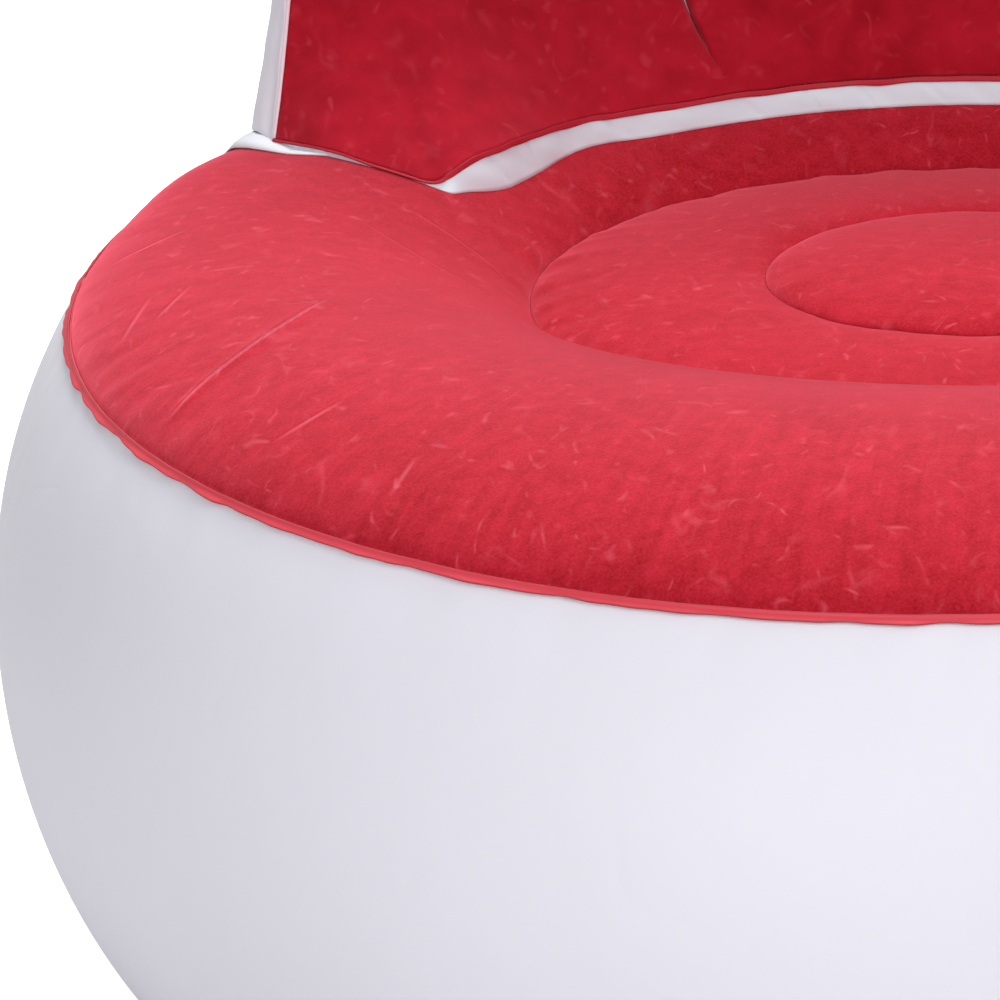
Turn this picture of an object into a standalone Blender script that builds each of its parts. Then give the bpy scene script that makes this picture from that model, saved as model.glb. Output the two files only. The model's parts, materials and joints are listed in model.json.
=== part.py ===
"""Inflatable one-seat chair: an oval air base, a wrap-round air backrest and two screw valves.

Metres, +Z up. The origin is on the floor under the centre of the seat's two round
weld rings, and the sitter looks along -Y. Every panel is a thin sheet welded edge to
edge with its neighbours, so the base and the backrest are two closed air chambers.
A plan bearing is the angle from +Y, the rear, turning towards +X.
"""

import math

import bmesh
import bpy
import numpy as np
from mathutils import Matrix, Vector

# Sheet stock and the space that welded or touching pieces keep
SKIN = 0.0008
FIT_GAP = 0.0003
MERGE_DISTANCE = 0.000001
CUT_OVERRUN = 0.004

# Base: oval rim weld, swollen side wall, flat floor face
RIM_HALF_WIDTH = 0.382
RIM_HALF_DEPTH = 0.436
RIM_CENTRE_Y = -0.0395
RIM_HEIGHT = 0.334
RIM_LAP = 0.004
WALL_SWELL = 0.038
WALL_ROUNDNESS = 0.134
WIDEST_HEIGHT = 0.21
BOTTOM_SEAM_HEIGHT = 0.028
BOTTOM_SEAM_DIP = math.radians(75)
VALVE_ROW_ANGLE = math.radians(9.5)
FLOOR_EDGE_INSET = 0.045

# Seat: two round welds, a raised ring round them, crowned middle ring and disc
OUTER_WELD_RADIUS = 0.196
OUTER_WELD_HEIGHT = 0.313
INNER_WELD_RADIUS = 0.092
INNER_WELD_HEIGHT = 0.321
RING_CROWN_SHARE = 0.165
MIDDLE_CROWN = 0.008
DISC_CROWN = 0.014
RING_FULLNESS_SHARE = 0.66
SEAT_FULLNESS_SHARE = 0.45
UNDERSIDE_GROOVE = 0.004
GROOVE_HALF_WIDTH = 0.009

# Foot of the backrest on the seat ring
FOOT_RADIUS = 0.2285
NOSE_SETBACK = 0.013
NOSE_TURN = math.radians(2.3)
WING_SLANT = math.radians(9.2)
WING_SPREAD = math.radians(25)
NOSE_SPREAD = math.radians(5)
WING_BEND_SHARE = 2.2
GUSSET_HEIGHT = 0.0075
GUSSET_LEAST = 0.0015
GUSSET_LEAN = 0.004
GUSSET_TRIM = 0.003
GUSSET_RISE_SHARE = 0.6
GUSSET_RISE_BEARING = math.radians(68)
GUSSET_RISE_SPREAD = math.radians(12)

# Backrest chamber
BACK_TOP_HEIGHT = 0.744
SIDE_EDGE_HEIGHT = 0.16
BACK_LEAN = math.radians(8)
BACK_TAPER = math.radians(4)
FRONT_SPINE_HALF_WIDTH = 0.335
FRONT_SPINE_END_Y = 0.09
FRONT_SPINE_MID_Y = 0.25
REAR_SPINE_HALF_WIDTH = 0.300
REAR_SPINE_END_Y = 0.222
REAR_SPINE_MID_Y = 0.398
FRONT_SETTLE_HEIGHT = 0.055
REAR_SETTLE_HEIGHT = 0.12
BEAM_SPINE_ANGLE = math.radians(36)
BEAM_FOOT_BEARING = math.radians(37.5)
FRONT_LOBE_SHARE = 0.19
REAR_LOBE_SHARE = 0.17
BAND_SWELL_SHARE = 0.15
BAND_SETTLE_HEIGHT = 0.05
ARCH_POWER = 2.4
BEAM_AIR_HOLE_RADIUS = 0.014
BEAM_THICKNESS = 0.0005

# Round tension bands inside the base
BAND_AIR_HOLE_RADIUS = 0.016
BAND_AIR_HOLE_HEIGHT = 0.16

# Two-part screw valve, sizes from its axis and from the panel's outer face
VALVE_BORE = 0.011
VALVE_SEAT_BORE = 0.0085
INSERT_WALL = 0.004
INSERT_REACH_IN = 0.0095
SEAT_THICKNESS = 0.002
HOUSING_WALL = 0.0018
HOUSING_REACH_IN = 0.013
HOUSING_REACH_OUT = 0.006
FLANGE_RADIUS = 0.024
FLANGE_THICKNESS = 0.0009
SEAL_THICKNESS = 0.001
COLLAR_RADIUS = 0.019
COLLAR_THICKNESS = 0.003
NECK_WALL = 0.0018
NECK_HEIGHT = 0.0075
CAP_SKIRT_WALL = 0.0024
CAP_SKIRT_REACH = 0.0053
CAP_PLATE = 0.002
STEM_RADIUS = 0.0035
STEM_HEIGHT = 0.0023
BUTTON_RADIUS = 0.0055
BUTTON_THICKNESS = 0.0014
GRIP_NOTCH_RADIUS = 0.0022
FLAP_RADIUS = 0.0105
FLAP_THICKNESS = 0.0008
TETHER_THICKNESS = 0.001
TETHER_STRAP_THICKNESS = 0.0008
TETHER_STRAP_WIDTH = 0.005
TETHER_RING_WALL = 0.0034
TETHER_LOOP_REACH = 0.025
PAD_FADE_SHARE = 0.5

# How finely the sheets are divided
COLUMNS = 48
LATHE_STEPS = 20
HOLE_SIDES = 12
WING_COLUMN = 11
REAR_CORNER_COLUMN = 7
EDGE_ROW = 8
ROW_CROWDING = 1.35
BAND_ROWS = 4
DISC_ROWS = 2
MIDDLE_ROWS = 3
FLANK_ROWS = 2
RING_SHARES = (0.0, 0.17, 0.37, 0.66, 0.9, 1.0)
PANEL_CORNER_ROW = 3
REAR_FOOT_ROW = 4
UPPER_WALL_ROWS = 2
LOWER_WALL_ROWS = 4
FLOOR_CURVE_ROWS = 2
BAND_HOLES = 6
BEAM_HOLES = 3
PAD_COLUMNS = 2
PAD_ROW = 3
GRIP_NOTCHES = 8

COLUMN_ANGLE = math.tau / COLUMNS
RIM_ANGLE = math.acos(1 - WALL_SWELL / WALL_ROUNDNESS)
UPPER_WALL_RISE = (RIM_HEIGHT - WIDEST_HEIGHT) / math.sin(RIM_ANGLE)
LOWER_WALL_DROP = (WIDEST_HEIGHT - BOTTOM_SEAM_HEIGHT) / math.sin(BOTTOM_SEAM_DIP)
FOOT_LIFT = SKIN * 2 + FIT_GAP * 2
SEAM_INSET = SKIN + FIT_GAP * 4
INSERT_RADIUS = VALVE_BORE + INSERT_WALL
HOUSING_BORE = INSERT_RADIUS + FIT_GAP
HOUSING_RADIUS = HOUSING_BORE + HOUSING_WALL
COLLAR_BASE = HOUSING_REACH_OUT + SEAL_THICKNESS + 2 * FIT_GAP
COLLAR_TOP = COLLAR_BASE + COLLAR_THICKNESS
NECK_RADIUS = VALVE_BORE + NECK_WALL
NECK_TOP = COLLAR_TOP + NECK_HEIGHT
CAP_UNDERSIDE = NECK_TOP + SEAL_THICKNESS + 2 * FIT_GAP
CAP_TOP = CAP_UNDERSIDE + CAP_PLATE
CAP_BORE = NECK_RADIUS + FIT_GAP
CAP_RADIUS = CAP_BORE + CAP_SKIRT_WALL
BUTTON_BASE = CAP_TOP + STEM_HEIGHT

RED_FLOCK = ("red flocking", (0.62, 0.035, 0.06), 0.9)
WHITE_VINYL = ("white vinyl", (0.83, 0.82, 0.88), 0.35)
CLEAR_VINYL = ("milky vinyl", (0.80, 0.81, 0.84), 0.3)
VALVE_PLASTIC = ("valve plastic", (0.86, 0.86, 0.89), 0.4)
SEAL_RUBBER = ("seal rubber", (0.55, 0.56, 0.58), 0.6)


def clear_scene():
    """Removes whatever the scene holds."""
    for old in list(bpy.data.objects):
        bpy.data.objects.remove(old, do_unlink=True)


def new_collection(name):
    collection = bpy.data.collections.new(name)
    bpy.context.scene.collection.children.link(collection)
    return collection


def material_of(finish):
    """The Principled material of a named finish, made once."""
    name, colour, roughness = finish
    material = bpy.data.materials.get(name)
    if material is None:
        material = bpy.data.materials.new(name)
        material.use_nodes = True
        shader = material.node_tree.nodes["Principled BSDF"]
        shader.inputs["Base Color"].default_value = (*colour, 1)
        shader.inputs["Roughness"].default_value = roughness
        material.diffuse_color = (*colour, 1)
    return material


def add_object(name, mesh, collection, finish=None):
    piece = bpy.data.objects.new(name, mesh)
    collection.objects.link(piece)
    if finish is not None:
        mesh.materials.append(material_of(finish))
    return piece


def directions(bearings):
    """Unit plan directions of an array of bearings."""
    return np.stack([np.sin(bearings), np.cos(bearings)], axis=-1)


def oval_radius(bearings, outset=0.0):
    """How far the rim oval, grown by outset, lies from the seat's centre along each bearing."""
    half_width = RIM_HALF_WIDTH + outset
    half_depth = RIM_HALF_DEPTH + outset
    plan = directions(bearings)
    square = (plan[..., 0] / half_width) ** 2 + (plan[..., 1] / half_depth) ** 2
    linear = plan[..., 1] * RIM_CENTRE_Y / half_depth**2
    constant = (RIM_CENTRE_Y / half_depth) ** 2 - 1
    return (linear + np.sqrt(linear**2 - square * constant)) / square


def crown(share, fullness):
    """A rounded hump over a span: 0 at share 0 and 1, 1 in the middle."""
    return np.clip(1 - (2 * share - 1) ** 2, 0, None) ** fullness


def seat_height(bearings, radius):
    """Height of the seat's upper face, from the disc out to the rim weld."""
    rim = oval_radius(bearings)
    span = rim - OUTER_WELD_RADIUS
    ring = np.clip((radius - OUTER_WELD_RADIUS) / span, 0, 1)
    ring_height = OUTER_WELD_HEIGHT + (RIM_HEIGHT - OUTER_WELD_HEIGHT) * ring
    ring_height = ring_height + RING_CROWN_SHARE * span * crown(ring, RING_FULLNESS_SHARE)
    middle = (radius - INNER_WELD_RADIUS) / (OUTER_WELD_RADIUS - INNER_WELD_RADIUS)
    middle = np.clip(middle, 0, 1)
    middle_height = INNER_WELD_HEIGHT + (OUTER_WELD_HEIGHT - INNER_WELD_HEIGHT) * middle
    middle_height = middle_height + MIDDLE_CROWN * crown(middle, SEAT_FULLNESS_SHARE)
    disc = np.clip(radius / INNER_WELD_RADIUS, 0, 1)
    disc_height = INNER_WELD_HEIGHT + DISC_CROWN * (1 - disc**2) ** SEAT_FULLNESS_SHARE
    height = np.where(radius > OUTER_WELD_RADIUS, ring_height, middle_height)
    return np.where(radius < INNER_WELD_RADIUS, disc_height, height)


def column_bearings():
    """The bearings of the base's grid columns, closed on the first, with a face at the rear."""
    half_turn = math.pi
    return (np.arange(COLUMNS + 1) + 0.5) * COLUMN_ANGLE - half_turn


def wing_weight(bearings):
    """1 at the backrest's wing ends, fading along the rim."""
    wing_bearing = (WING_COLUMN + 0.5) * COLUMN_ANGLE
    return np.exp(-(((np.abs(bearings) - wing_bearing) / WING_SPREAD) ** 2))


def foot_radius(bearings):
    """The circle that the backrest's front foot follows, set back a little at the wing ends."""
    wing_bearing = (WING_COLUMN + 0.5) * COLUMN_ANGLE
    nose = np.exp(-(((np.abs(bearings) - wing_bearing) / NOSE_SPREAD) ** 2))
    return FOOT_RADIUS + NOSE_SETBACK * nose


def ring_grid(bearings, share):
    """Bearing and radius of the grid's column at a share of the way from foot circle to rim."""
    turn = (NOSE_TURN + WING_SLANT * share**WING_BEND_SHARE) * wing_weight(bearings)
    slanted = bearings - np.sign(bearings) * turn
    inner = foot_radius(bearings)
    radius = inner + (oval_radius(slanted) - inner) * share
    return slanted, radius


def seat_rows():
    """The seat's grid rows from its centre outwards, as arrays of points, up to the rim weld."""
    bearings = column_bearings()
    foot_bearings, foot = ring_grid(bearings, 0.0)
    rows = []
    for step in range(DISC_ROWS + 1):
        radius = INNER_WELD_RADIUS * step / DISC_ROWS
        rows.append((bearings, np.full(bearings.shape, radius)))
    for step in range(1, MIDDLE_ROWS + 1):
        share = step / MIDDLE_ROWS
        radius = INNER_WELD_RADIUS + (OUTER_WELD_RADIUS - INNER_WELD_RADIUS) * share
        rows.append((bearings, np.full(bearings.shape, radius)))
    for step in range(1, FLANK_ROWS):
        share = step / FLANK_ROWS
        radius = OUTER_WELD_RADIUS + (foot - OUTER_WELD_RADIUS) * share
        rows.append((bearings + (foot_bearings - bearings) * share, radius))
    for share in RING_SHARES:
        rows.append(ring_grid(bearings, share))
    return [plan_points(turned, radius) for turned, radius in rows]


def plan_points(bearings, radius):
    """Points on the seat's upper face at these bearings and radii."""
    plan = directions(bearings) * radius[..., None]
    height = seat_height(bearings, radius)
    return np.concatenate([plan, height[..., None]], axis=-1)


def wall_point(bearings, angle, outset=0.0):
    """Points of the side wall at an angle of its rounded profile, with a small extra outset."""
    reach = WALL_SWELL - WALL_ROUNDNESS * (1 - math.cos(angle))
    rise = UPPER_WALL_RISE if angle > 0 else LOWER_WALL_DROP
    radius = oval_radius(bearings, reach + outset * math.cos(angle))
    height = WIDEST_HEIGHT + (rise + outset) * math.sin(angle)
    plan = directions(bearings) * radius[..., None]
    return np.insert(plan, 2, height, axis=-1)


def rim_bearings():
    """Bearings of the grid's columns where they reach the rim."""
    return ring_grid(column_bearings(), 1.0)[0]


def sheet(name, grid, inside, finish, collection, thickness=SKIN):
    """A sheet through a grid of points, thickened towards the point given as its inner side.

    It is split into triangles first, so that both its faces bend along the same folds.
    """
    columns, rows = grid.shape[0] - 1, grid.shape[1] - 1
    form = bmesh.new()
    bmesh.ops.create_grid(form, x_segments=columns, y_segments=rows, size=1)
    for vertex in form.verts:
        column = round((vertex.co.x + 1) / 2 * columns)
        row = round((vertex.co.y + 1) / 2 * rows)
        vertex.co = Vector(grid[column, row])
    bmesh.ops.remove_doubles(form, verts=form.verts[:], dist=MERGE_DISTANCE)
    form.normal_update()
    middle = Vector(inside)
    facing = sum(
        face.normal.dot(face.calc_center_median() - middle) * face.calc_area()
        for face in form.faces
    )
    if facing < 0:
        bmesh.ops.reverse_faces(form, faces=form.faces[:])
    bmesh.ops.triangulate(form, faces=form.faces[:])
    mesh = bpy.data.meshes.new(name)
    form.to_mesh(mesh)
    form.free()
    mesh.shade_smooth()
    piece = add_object(name, mesh, collection, finish)
    wall = piece.modifiers.new("thickness", "SOLIDIFY")
    wall.thickness = thickness
    wall.offset = -1
    return piece


def cut(piece, cutter):
    """Takes the cutter's volume out of the piece."""
    hole = piece.modifiers.new("cut " + cutter.name, "BOOLEAN")
    hole.operation = "DIFFERENCE"
    hole.object = cutter


def fuse(piece, other):
    """Joins the other solid to the piece."""
    join = piece.modifiers.new("join " + other.name, "BOOLEAN")
    join.operation = "UNION"
    join.object = other


def hide_helper(helper):
    helper.hide_render = True
    helper.display_type = "WIRE"


def round_cutter(name, radius, length, matrix, helpers, sides=HOLE_SIDES):
    """A round bar along the matrix's Z axis, centred on its origin."""
    form = bmesh.new()
    bmesh.ops.create_cone(
        form, cap_ends=True, segments=sides, radius1=radius, radius2=radius, depth=length
    )
    mesh = bpy.data.meshes.new(name)
    form.to_mesh(mesh)
    form.free()
    bar = add_object(name, mesh, helpers)
    bar.matrix_world = matrix
    hide_helper(bar)
    return bar


def facing_matrix(place, axis):
    """A frame at place whose Z axis is the horizontal or plan axis given, with Y up."""
    outward = Vector(axis).normalized()
    up = Vector((0, 0, 1))
    side = up.cross(outward).normalized()
    upright = outward.cross(side)
    turn = Matrix((side, upright, outward)).transposed().to_4x4()
    return Matrix.Translation(Vector(place)) @ turn


def make_seat_panel(parts):
    """The red upper panel of the base, from its centre to the lap that covers the rim weld."""
    rows = seat_rows()
    rim = rim_bearings()
    lift = SKIN + FIT_GAP
    rows[-1] = wall_point(rim, RIM_ANGLE, lift) + np.array([0, 0, FIT_GAP])
    lap_angle = RIM_ANGLE - RIM_LAP / math.hypot(WALL_ROUNDNESS, UPPER_WALL_RISE) * math.sqrt(2)
    rows.append(wall_point(rim, lap_angle, lift + FIT_GAP))
    grid = np.stack(rows, axis=1)
    return sheet("seat_top_panel", grid, (0, 0, 0), RED_FLOCK, parts)


def wall_angles():
    """Profile angles of the side wall's rows, with one upright row of faces for the valve."""
    upper = np.linspace(RIM_ANGLE, VALVE_ROW_ANGLE, UPPER_WALL_ROWS + 1)
    lower = np.linspace(-VALVE_ROW_ANGLE, -BOTTOM_SEAM_DIP, LOWER_WALL_ROWS + 1)
    return np.concatenate([upper, lower])


def make_side_wall(parts):
    """The white side wall, an inflated band from the rim weld down to the bottom seam."""
    rim = rim_bearings()
    grid = np.stack([wall_point(rim, angle) for angle in wall_angles()], axis=1)
    return sheet("base_side_wall", grid, (0, 0, WIDEST_HEIGHT), WHITE_VINYL, parts)


def bottom_rows():
    """Rows of the bottom panel from its centre to the seam, lifted at each tension band."""
    bearings = column_bearings()
    rim = rim_bearings()
    seam_reach = WALL_SWELL - WALL_ROUNDNESS * (1 - math.cos(BOTTOM_SEAM_DIP))
    floor_reach = seam_reach - FLOOR_EDGE_INSET
    rows = [(bearings, np.zeros(bearings.shape), 0.0)]
    for weld in (INNER_WELD_RADIUS, OUTER_WELD_RADIUS):
        for side in (-1, 0, 1):
            radius = np.full(bearings.shape, weld + side * GROOVE_HALF_WIDTH)
            rows.append((bearings, radius, UNDERSIDE_GROOVE * (1 - abs(side))))
    for step in range(FLOOR_CURVE_ROWS + 1):
        turn = BOTTOM_SEAM_DIP * step / FLOOR_CURVE_ROWS
        reach = floor_reach + FLOOR_EDGE_INSET * math.sin(turn) / math.sin(BOTTOM_SEAM_DIP)
        lift = BOTTOM_SEAM_HEIGHT * (1 - math.cos(turn)) / (1 - math.cos(BOTTOM_SEAM_DIP))
        rows.append((rim, oval_radius(rim, reach), lift))
    rows[-1] = (rim, rows[-1][1] - FIT_GAP, BOTTOM_SEAM_HEIGHT - FIT_GAP)
    points = []
    for turned, radius, lift in rows:
        plan = directions(turned) * radius[..., None]
        points.append(np.insert(plan, 2, lift, axis=-1))
    return points


def make_bottom_panel(parts):
    """The white underside: flat on the floor, turned up to the bottom seam."""
    grid = np.stack(bottom_rows(), axis=1)
    return sheet("base_bottom_panel", grid, (0, 0, WIDEST_HEIGHT), WHITE_VINYL, parts)


def make_round_band(name, radius, top_height, parts, helpers):
    """A round tension band that holds a seat weld down to the underside, with air holes."""
    bearings = column_bearings()
    plan = directions(bearings) * radius
    low = UNDERSIDE_GROOVE + SKIN + FIT_GAP
    high = top_height - SKIN - FIT_GAP
    rows = []
    for height in (low, high):
        rows.append(np.insert(plan, 2, height, axis=-1))
    band = sheet(name, np.stack(rows, axis=1), (0, 0, high), CLEAR_VINYL, parts, BEAM_THICKNESS)
    for index in range(BAND_HOLES):
        bearing = math.tau * index / BAND_HOLES
        outward = (math.sin(bearing), math.cos(bearing), 0)
        place = (outward[0] * radius, outward[1] * radius, BAND_AIR_HOLE_HEIGHT)
        matrix = facing_matrix(place, outward)
        hole = round_cutter(
            f"{name}_hole_{index}", BAND_AIR_HOLE_RADIUS, CUT_OVERRUN * 4, matrix, helpers
        )
        cut(band, hole)
    return band


def wing_side(points, side):
    """The same points on the sitter's right, or mirrored to the left."""
    return points * np.array([side, 1, 1])


def foot_grid():
    """Points of the foot panel's underside, a column for each bearing and a row for each share."""
    bearings = (np.arange(-WING_COLUMN - 1, WING_COLUMN + 1) + 0.5) * COLUMN_ANGLE
    rows = [plan_points(*ring_grid(bearings, share)) for share in RING_SHARES]
    grid = np.stack(rows, axis=1)
    grid[:, -1] = wall_point(ring_grid(bearings, 1.0)[0], RIM_ANGLE)
    return grid + np.array([0, 0, FIT_GAP])


def make_foot_panel(parts):
    """The white foot of the backrest, welded to the rear of the seat ring."""
    grid = foot_grid()
    grid[:, -1] += np.array([0, 0, SKIN + FIT_GAP * 2])
    above = (0, FOOT_RADIUS, BACK_TOP_HEIGHT * 2)
    return sheet("backrest_foot_panel", grid, above, WHITE_VINYL, parts)


def along(path, shares):
    """Points at shares of a path's number of steps, straight between its own points."""
    steps = np.arange(len(path))
    at = np.asarray(shares) * (len(path) - 1)
    return np.stack([np.interp(at, steps, path[:, axis]) for axis in range(3)], axis=-1)


def front_foot():
    """The front foot of the backrest on the foot panel, from one panel corner to the other."""
    grid = foot_grid() + np.array([0, 0, FOOT_LIFT])
    left = grid[0, PANEL_CORNER_ROW:0:-1]
    right = grid[-1, 1 : PANEL_CORNER_ROW + 1]
    return np.concatenate([left, grid[:, 0], right])


def gusset_rise(path):
    """Height of the white gusset under the front panel at each point of the foot."""
    bearing = np.abs(np.arctan2(path[:, 0], path[:, 1]))
    wing_bearing = (WING_COLUMN + 0.5) * COLUMN_ANGLE - NOSE_TURN
    hump = np.exp(-(((bearing - GUSSET_RISE_BEARING) / GUSSET_RISE_SPREAD) ** 2))
    fade = np.clip((wing_bearing - bearing) / GUSSET_RISE_SPREAD, 0, 1)
    radius = np.hypot(path[:, 0], path[:, 1])
    on_circle = radius < FOOT_RADIUS + NOSE_SETBACK / 2
    rise = GUSSET_HEIGHT * (1 + GUSSET_RISE_SHARE * hump) * fade * (2 - fade)
    return GUSSET_LEAST + np.where(on_circle, rise, 0)


def pull_in_ends(path, trim):
    """The same path, or row of paths, with both ends drawn in by a length."""
    path = path.copy()
    for end, inner in ((0, 1), (-1, -2)):
        step = path[inner] - path[end]
        length = np.linalg.norm(step, axis=-1, keepdims=True)
        path[end] = path[end] + step / length * trim
    return path


def gusset_seam():
    """The upper edge of the gusset, where the front panel is welded to it."""
    path = front_foot()
    rise = gusset_rise(path)
    plan = path[:, :2]
    outward = plan / np.linalg.norm(plan, axis=1, keepdims=True)
    lean = GUSSET_LEAN * (rise / (rise + GUSSET_HEIGHT))[:, None] * 2
    seam = path.copy()
    seam[:, :2] += outward * lean
    seam[:, 2] += rise
    return seam


def make_front_gusset(parts):
    """The narrow white gusset that stands between the seat and the front panel."""
    grid = pull_in_ends(np.stack([front_foot(), gusset_seam()], axis=1), GUSSET_TRIM)
    behind = (0, REAR_SPINE_MID_Y * 4, 0)
    return sheet("backrest_front_gusset", grid, behind, WHITE_VINYL, parts)


def panel_shares():
    """Shares along the front foot for the panel's columns, two to each step of the foot circle."""
    steps = len(front_foot()) - 1
    marks = np.arange(2 * steps + 1) / 2
    ends = PANEL_CORNER_ROW
    whole = marks == np.round(marks)
    keep = whole | ((marks > ends) & (marks < steps - ends))
    return marks[keep] / steps


def spine(angle, half_width, end_y, middle_y):
    """A half-oval line in plan through the chamber's welds at an angle from its middle."""
    return np.stack(
        [half_width * np.sin(angle), end_y + (middle_y - end_y) * np.cos(angle)], axis=-1
    )


def spine_angles(shares):
    """Angles along the spine that put the side beams where their grooves meet the foot."""
    across = np.abs(2 * shares - 1)
    turn = BEAM_SPINE_ANGLE + (math.pi / 2 - BEAM_SPINE_ANGLE) * (across - beam_share()) / (
        1 - beam_share()
    )
    inner = BEAM_SPINE_ANGLE * across / beam_share()
    return np.sign(2 * shares - 1) * np.where(across < beam_share(), inner, turn)


def beam_share():
    """How far out the side beams stand, as a share of the panel's half-width."""
    steps = len(front_foot()) - 1
    beam_step = round(BEAM_FOOT_BEARING / COLUMN_ANGLE)
    return 2 * beam_step / steps


def lobe(shares, lobe_share, lengths):
    """How far the panel swells between its welds to the beams."""
    across = np.abs(2 * shares - 1)
    inner = np.clip(across / beam_share(), 0, 1)
    outer = np.clip((across - beam_share()) / (1 - beam_share()), 0, 1)
    inner_length, outer_length = lengths
    swell = inner_length * crown(inner, RING_FULLNESS_SHARE)
    swell = swell + outer_length * crown(outer, RING_FULLNESS_SHARE)
    return swell * lobe_share


def top_height(shares):
    """Height of the panels' upper edge: upright sides, then an arch."""
    across = np.abs(2 * shares - 1)
    corner = gusset_seam()[0][2] + SIDE_EDGE_HEIGHT
    rise = BACK_TOP_HEIGHT - corner
    return corner + rise * np.sqrt(np.clip(1 - across**ARCH_POWER, 0, None))


def spread_rows():
    """Shares of height of the panel rows, closer together at the foot."""
    return (np.arange(EDGE_ROW + 1) / EDGE_ROW) ** ROW_CROWDING


def chamber_panel(foot, shares, spine_sizes, settle, lobe_share, facing):
    """A backrest panel's points: its foot below, its spine and lobes above."""
    half_width, end_y, middle_y = spine_sizes
    angles = spine_angles(shares)
    line = spine(angles, half_width, end_y, middle_y)
    normal = spine(angles, middle_y - end_y, 0, half_width)
    normal = normal / np.linalg.norm(normal, axis=1, keepdims=True)
    beam_x = half_width * math.sin(BEAM_SPINE_ANGLE)
    swell = lobe(shares, lobe_share, (beam_x, half_width - beam_x + (middle_y - end_y) / 2))
    top = top_height(shares)
    rows = []
    for share in spread_rows():
        rise = (top - foot[:, 2]) * share
        settled = (1 - np.exp(-rise / settle))[:, None]
        plan = foot[:, :2] * (1 - settled) + line * settled
        fade = crown(np.clip(share, 0, 1), RING_FULLNESS_SHARE)
        plan = plan + normal * (facing * swell * fade)[:, None] * settled
        plan[:, 0] *= 1 - rise * math.tan(BACK_TAPER) / half_width
        plan[:, 1] += rise * math.tan(BACK_LEAN)
        rows.append(np.concatenate([plan, (foot[:, 2] + rise)[:, None]], axis=1))
    return np.stack(rows, axis=1)


def front_grid():
    """Points of the red front panel of the backrest."""
    shares = panel_shares()
    foot = along(gusset_seam(), shares) + np.array([0, 0, SKIN + FIT_GAP])
    sizes = (FRONT_SPINE_HALF_WIDTH, FRONT_SPINE_END_Y, FRONT_SPINE_MID_Y)
    return chamber_panel(foot, shares, sizes, FRONT_SETTLE_HEIGHT, FRONT_LOBE_SHARE, -1)


def rear_foot():
    """The rear foot of the backrest, along the foot panel close to the rim."""
    first = WING_COLUMN - REAR_CORNER_COLUMN
    grid = foot_grid() + np.array([0, 0, SKIN + FIT_GAP])
    return grid[first : len(grid) - first, REAR_FOOT_ROW]


def rear_grid():
    """Points of the white rear panel, column for column with the front panel."""
    shares = panel_shares()
    foot = along(rear_foot(), shares)
    sizes = (REAR_SPINE_HALF_WIDTH, REAR_SPINE_END_Y, REAR_SPINE_MID_Y)
    grid = chamber_panel(foot, shares, sizes, REAR_SETTLE_HEIGHT, REAR_LOBE_SHARE, 1)
    return flatten_pad(grid)


def pad_block():
    """The block of the rear panel's grid points that the valve's flange holds flat."""
    across = 2 * panel_shares() - 1
    column = int(np.argmin(np.abs(across - beam_share() / 2)))
    columns = slice(column - PAD_COLUMNS, column + PAD_COLUMNS + 1)
    return columns, slice(PAD_ROW - 1, PAD_ROW + 2)


def back_valve_pose(grid):
    """Centre and outward normal of the flat pad under the backrest's valve."""
    pad = grid[pad_block()].reshape(-1, 3)
    centre = pad.mean(axis=0)
    normal = np.linalg.svd(pad - centre)[2][2]
    return centre, normal * np.sign(normal[1])


def flatten_pad(grid):
    """Presses the panel flat round the valve, as its stiff flange does."""
    centre, normal = back_valve_pose(grid)
    depth = (grid - centre) @ normal
    columns, rows = pad_block()
    near = np.zeros(depth.shape)
    near[columns.start - 1 : columns.stop + 1, rows.start : rows.stop + 1] = PAD_FADE_SHARE
    near[columns, rows] = 1
    return grid - (near * depth)[..., None] * normal


def make_front_panel(parts):
    behind = (0, REAR_SPINE_MID_Y * 4, BACK_TOP_HEIGHT)
    return sheet("backrest_front_panel", front_grid(), behind, RED_FLOCK, parts)


def make_rear_panel(parts):
    before = (0, 0, BACK_TOP_HEIGHT / 2)
    return sheet("backrest_rear_panel", rear_grid(), before, WHITE_VINYL, parts)


def edge_loop(grid):
    """A panel's outline from one foot corner over the top to the other."""
    return np.concatenate([grid[0, :-1], grid[:, -1], grid[-1, -2::-1]])


def inner_offset(grid, facing):
    """A panel's grid moved clear of its inner face. Facing is 1 for inwards towards +Y."""
    across = np.gradient(grid, axis=0)
    upward = np.gradient(grid, axis=1)
    normal = np.cross(upward, across) * facing
    normal = normal / np.linalg.norm(normal, axis=-1, keepdims=True)
    return grid + normal * SEAM_INSET


def side_foot():
    """The foot of the edge band, from the front panel's corner to the rear panel's."""
    grid = foot_grid() + np.array([0, 0, SKIN + FIT_GAP])
    corner = grid[:1, PANEL_CORNER_ROW]
    first = WING_COLUMN - REAR_CORNER_COLUMN
    path = np.concatenate([corner, grid[1 : first + 1, REAR_FOOT_ROW]])
    return pull_in_ends(path, SEAM_INSET)


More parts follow.
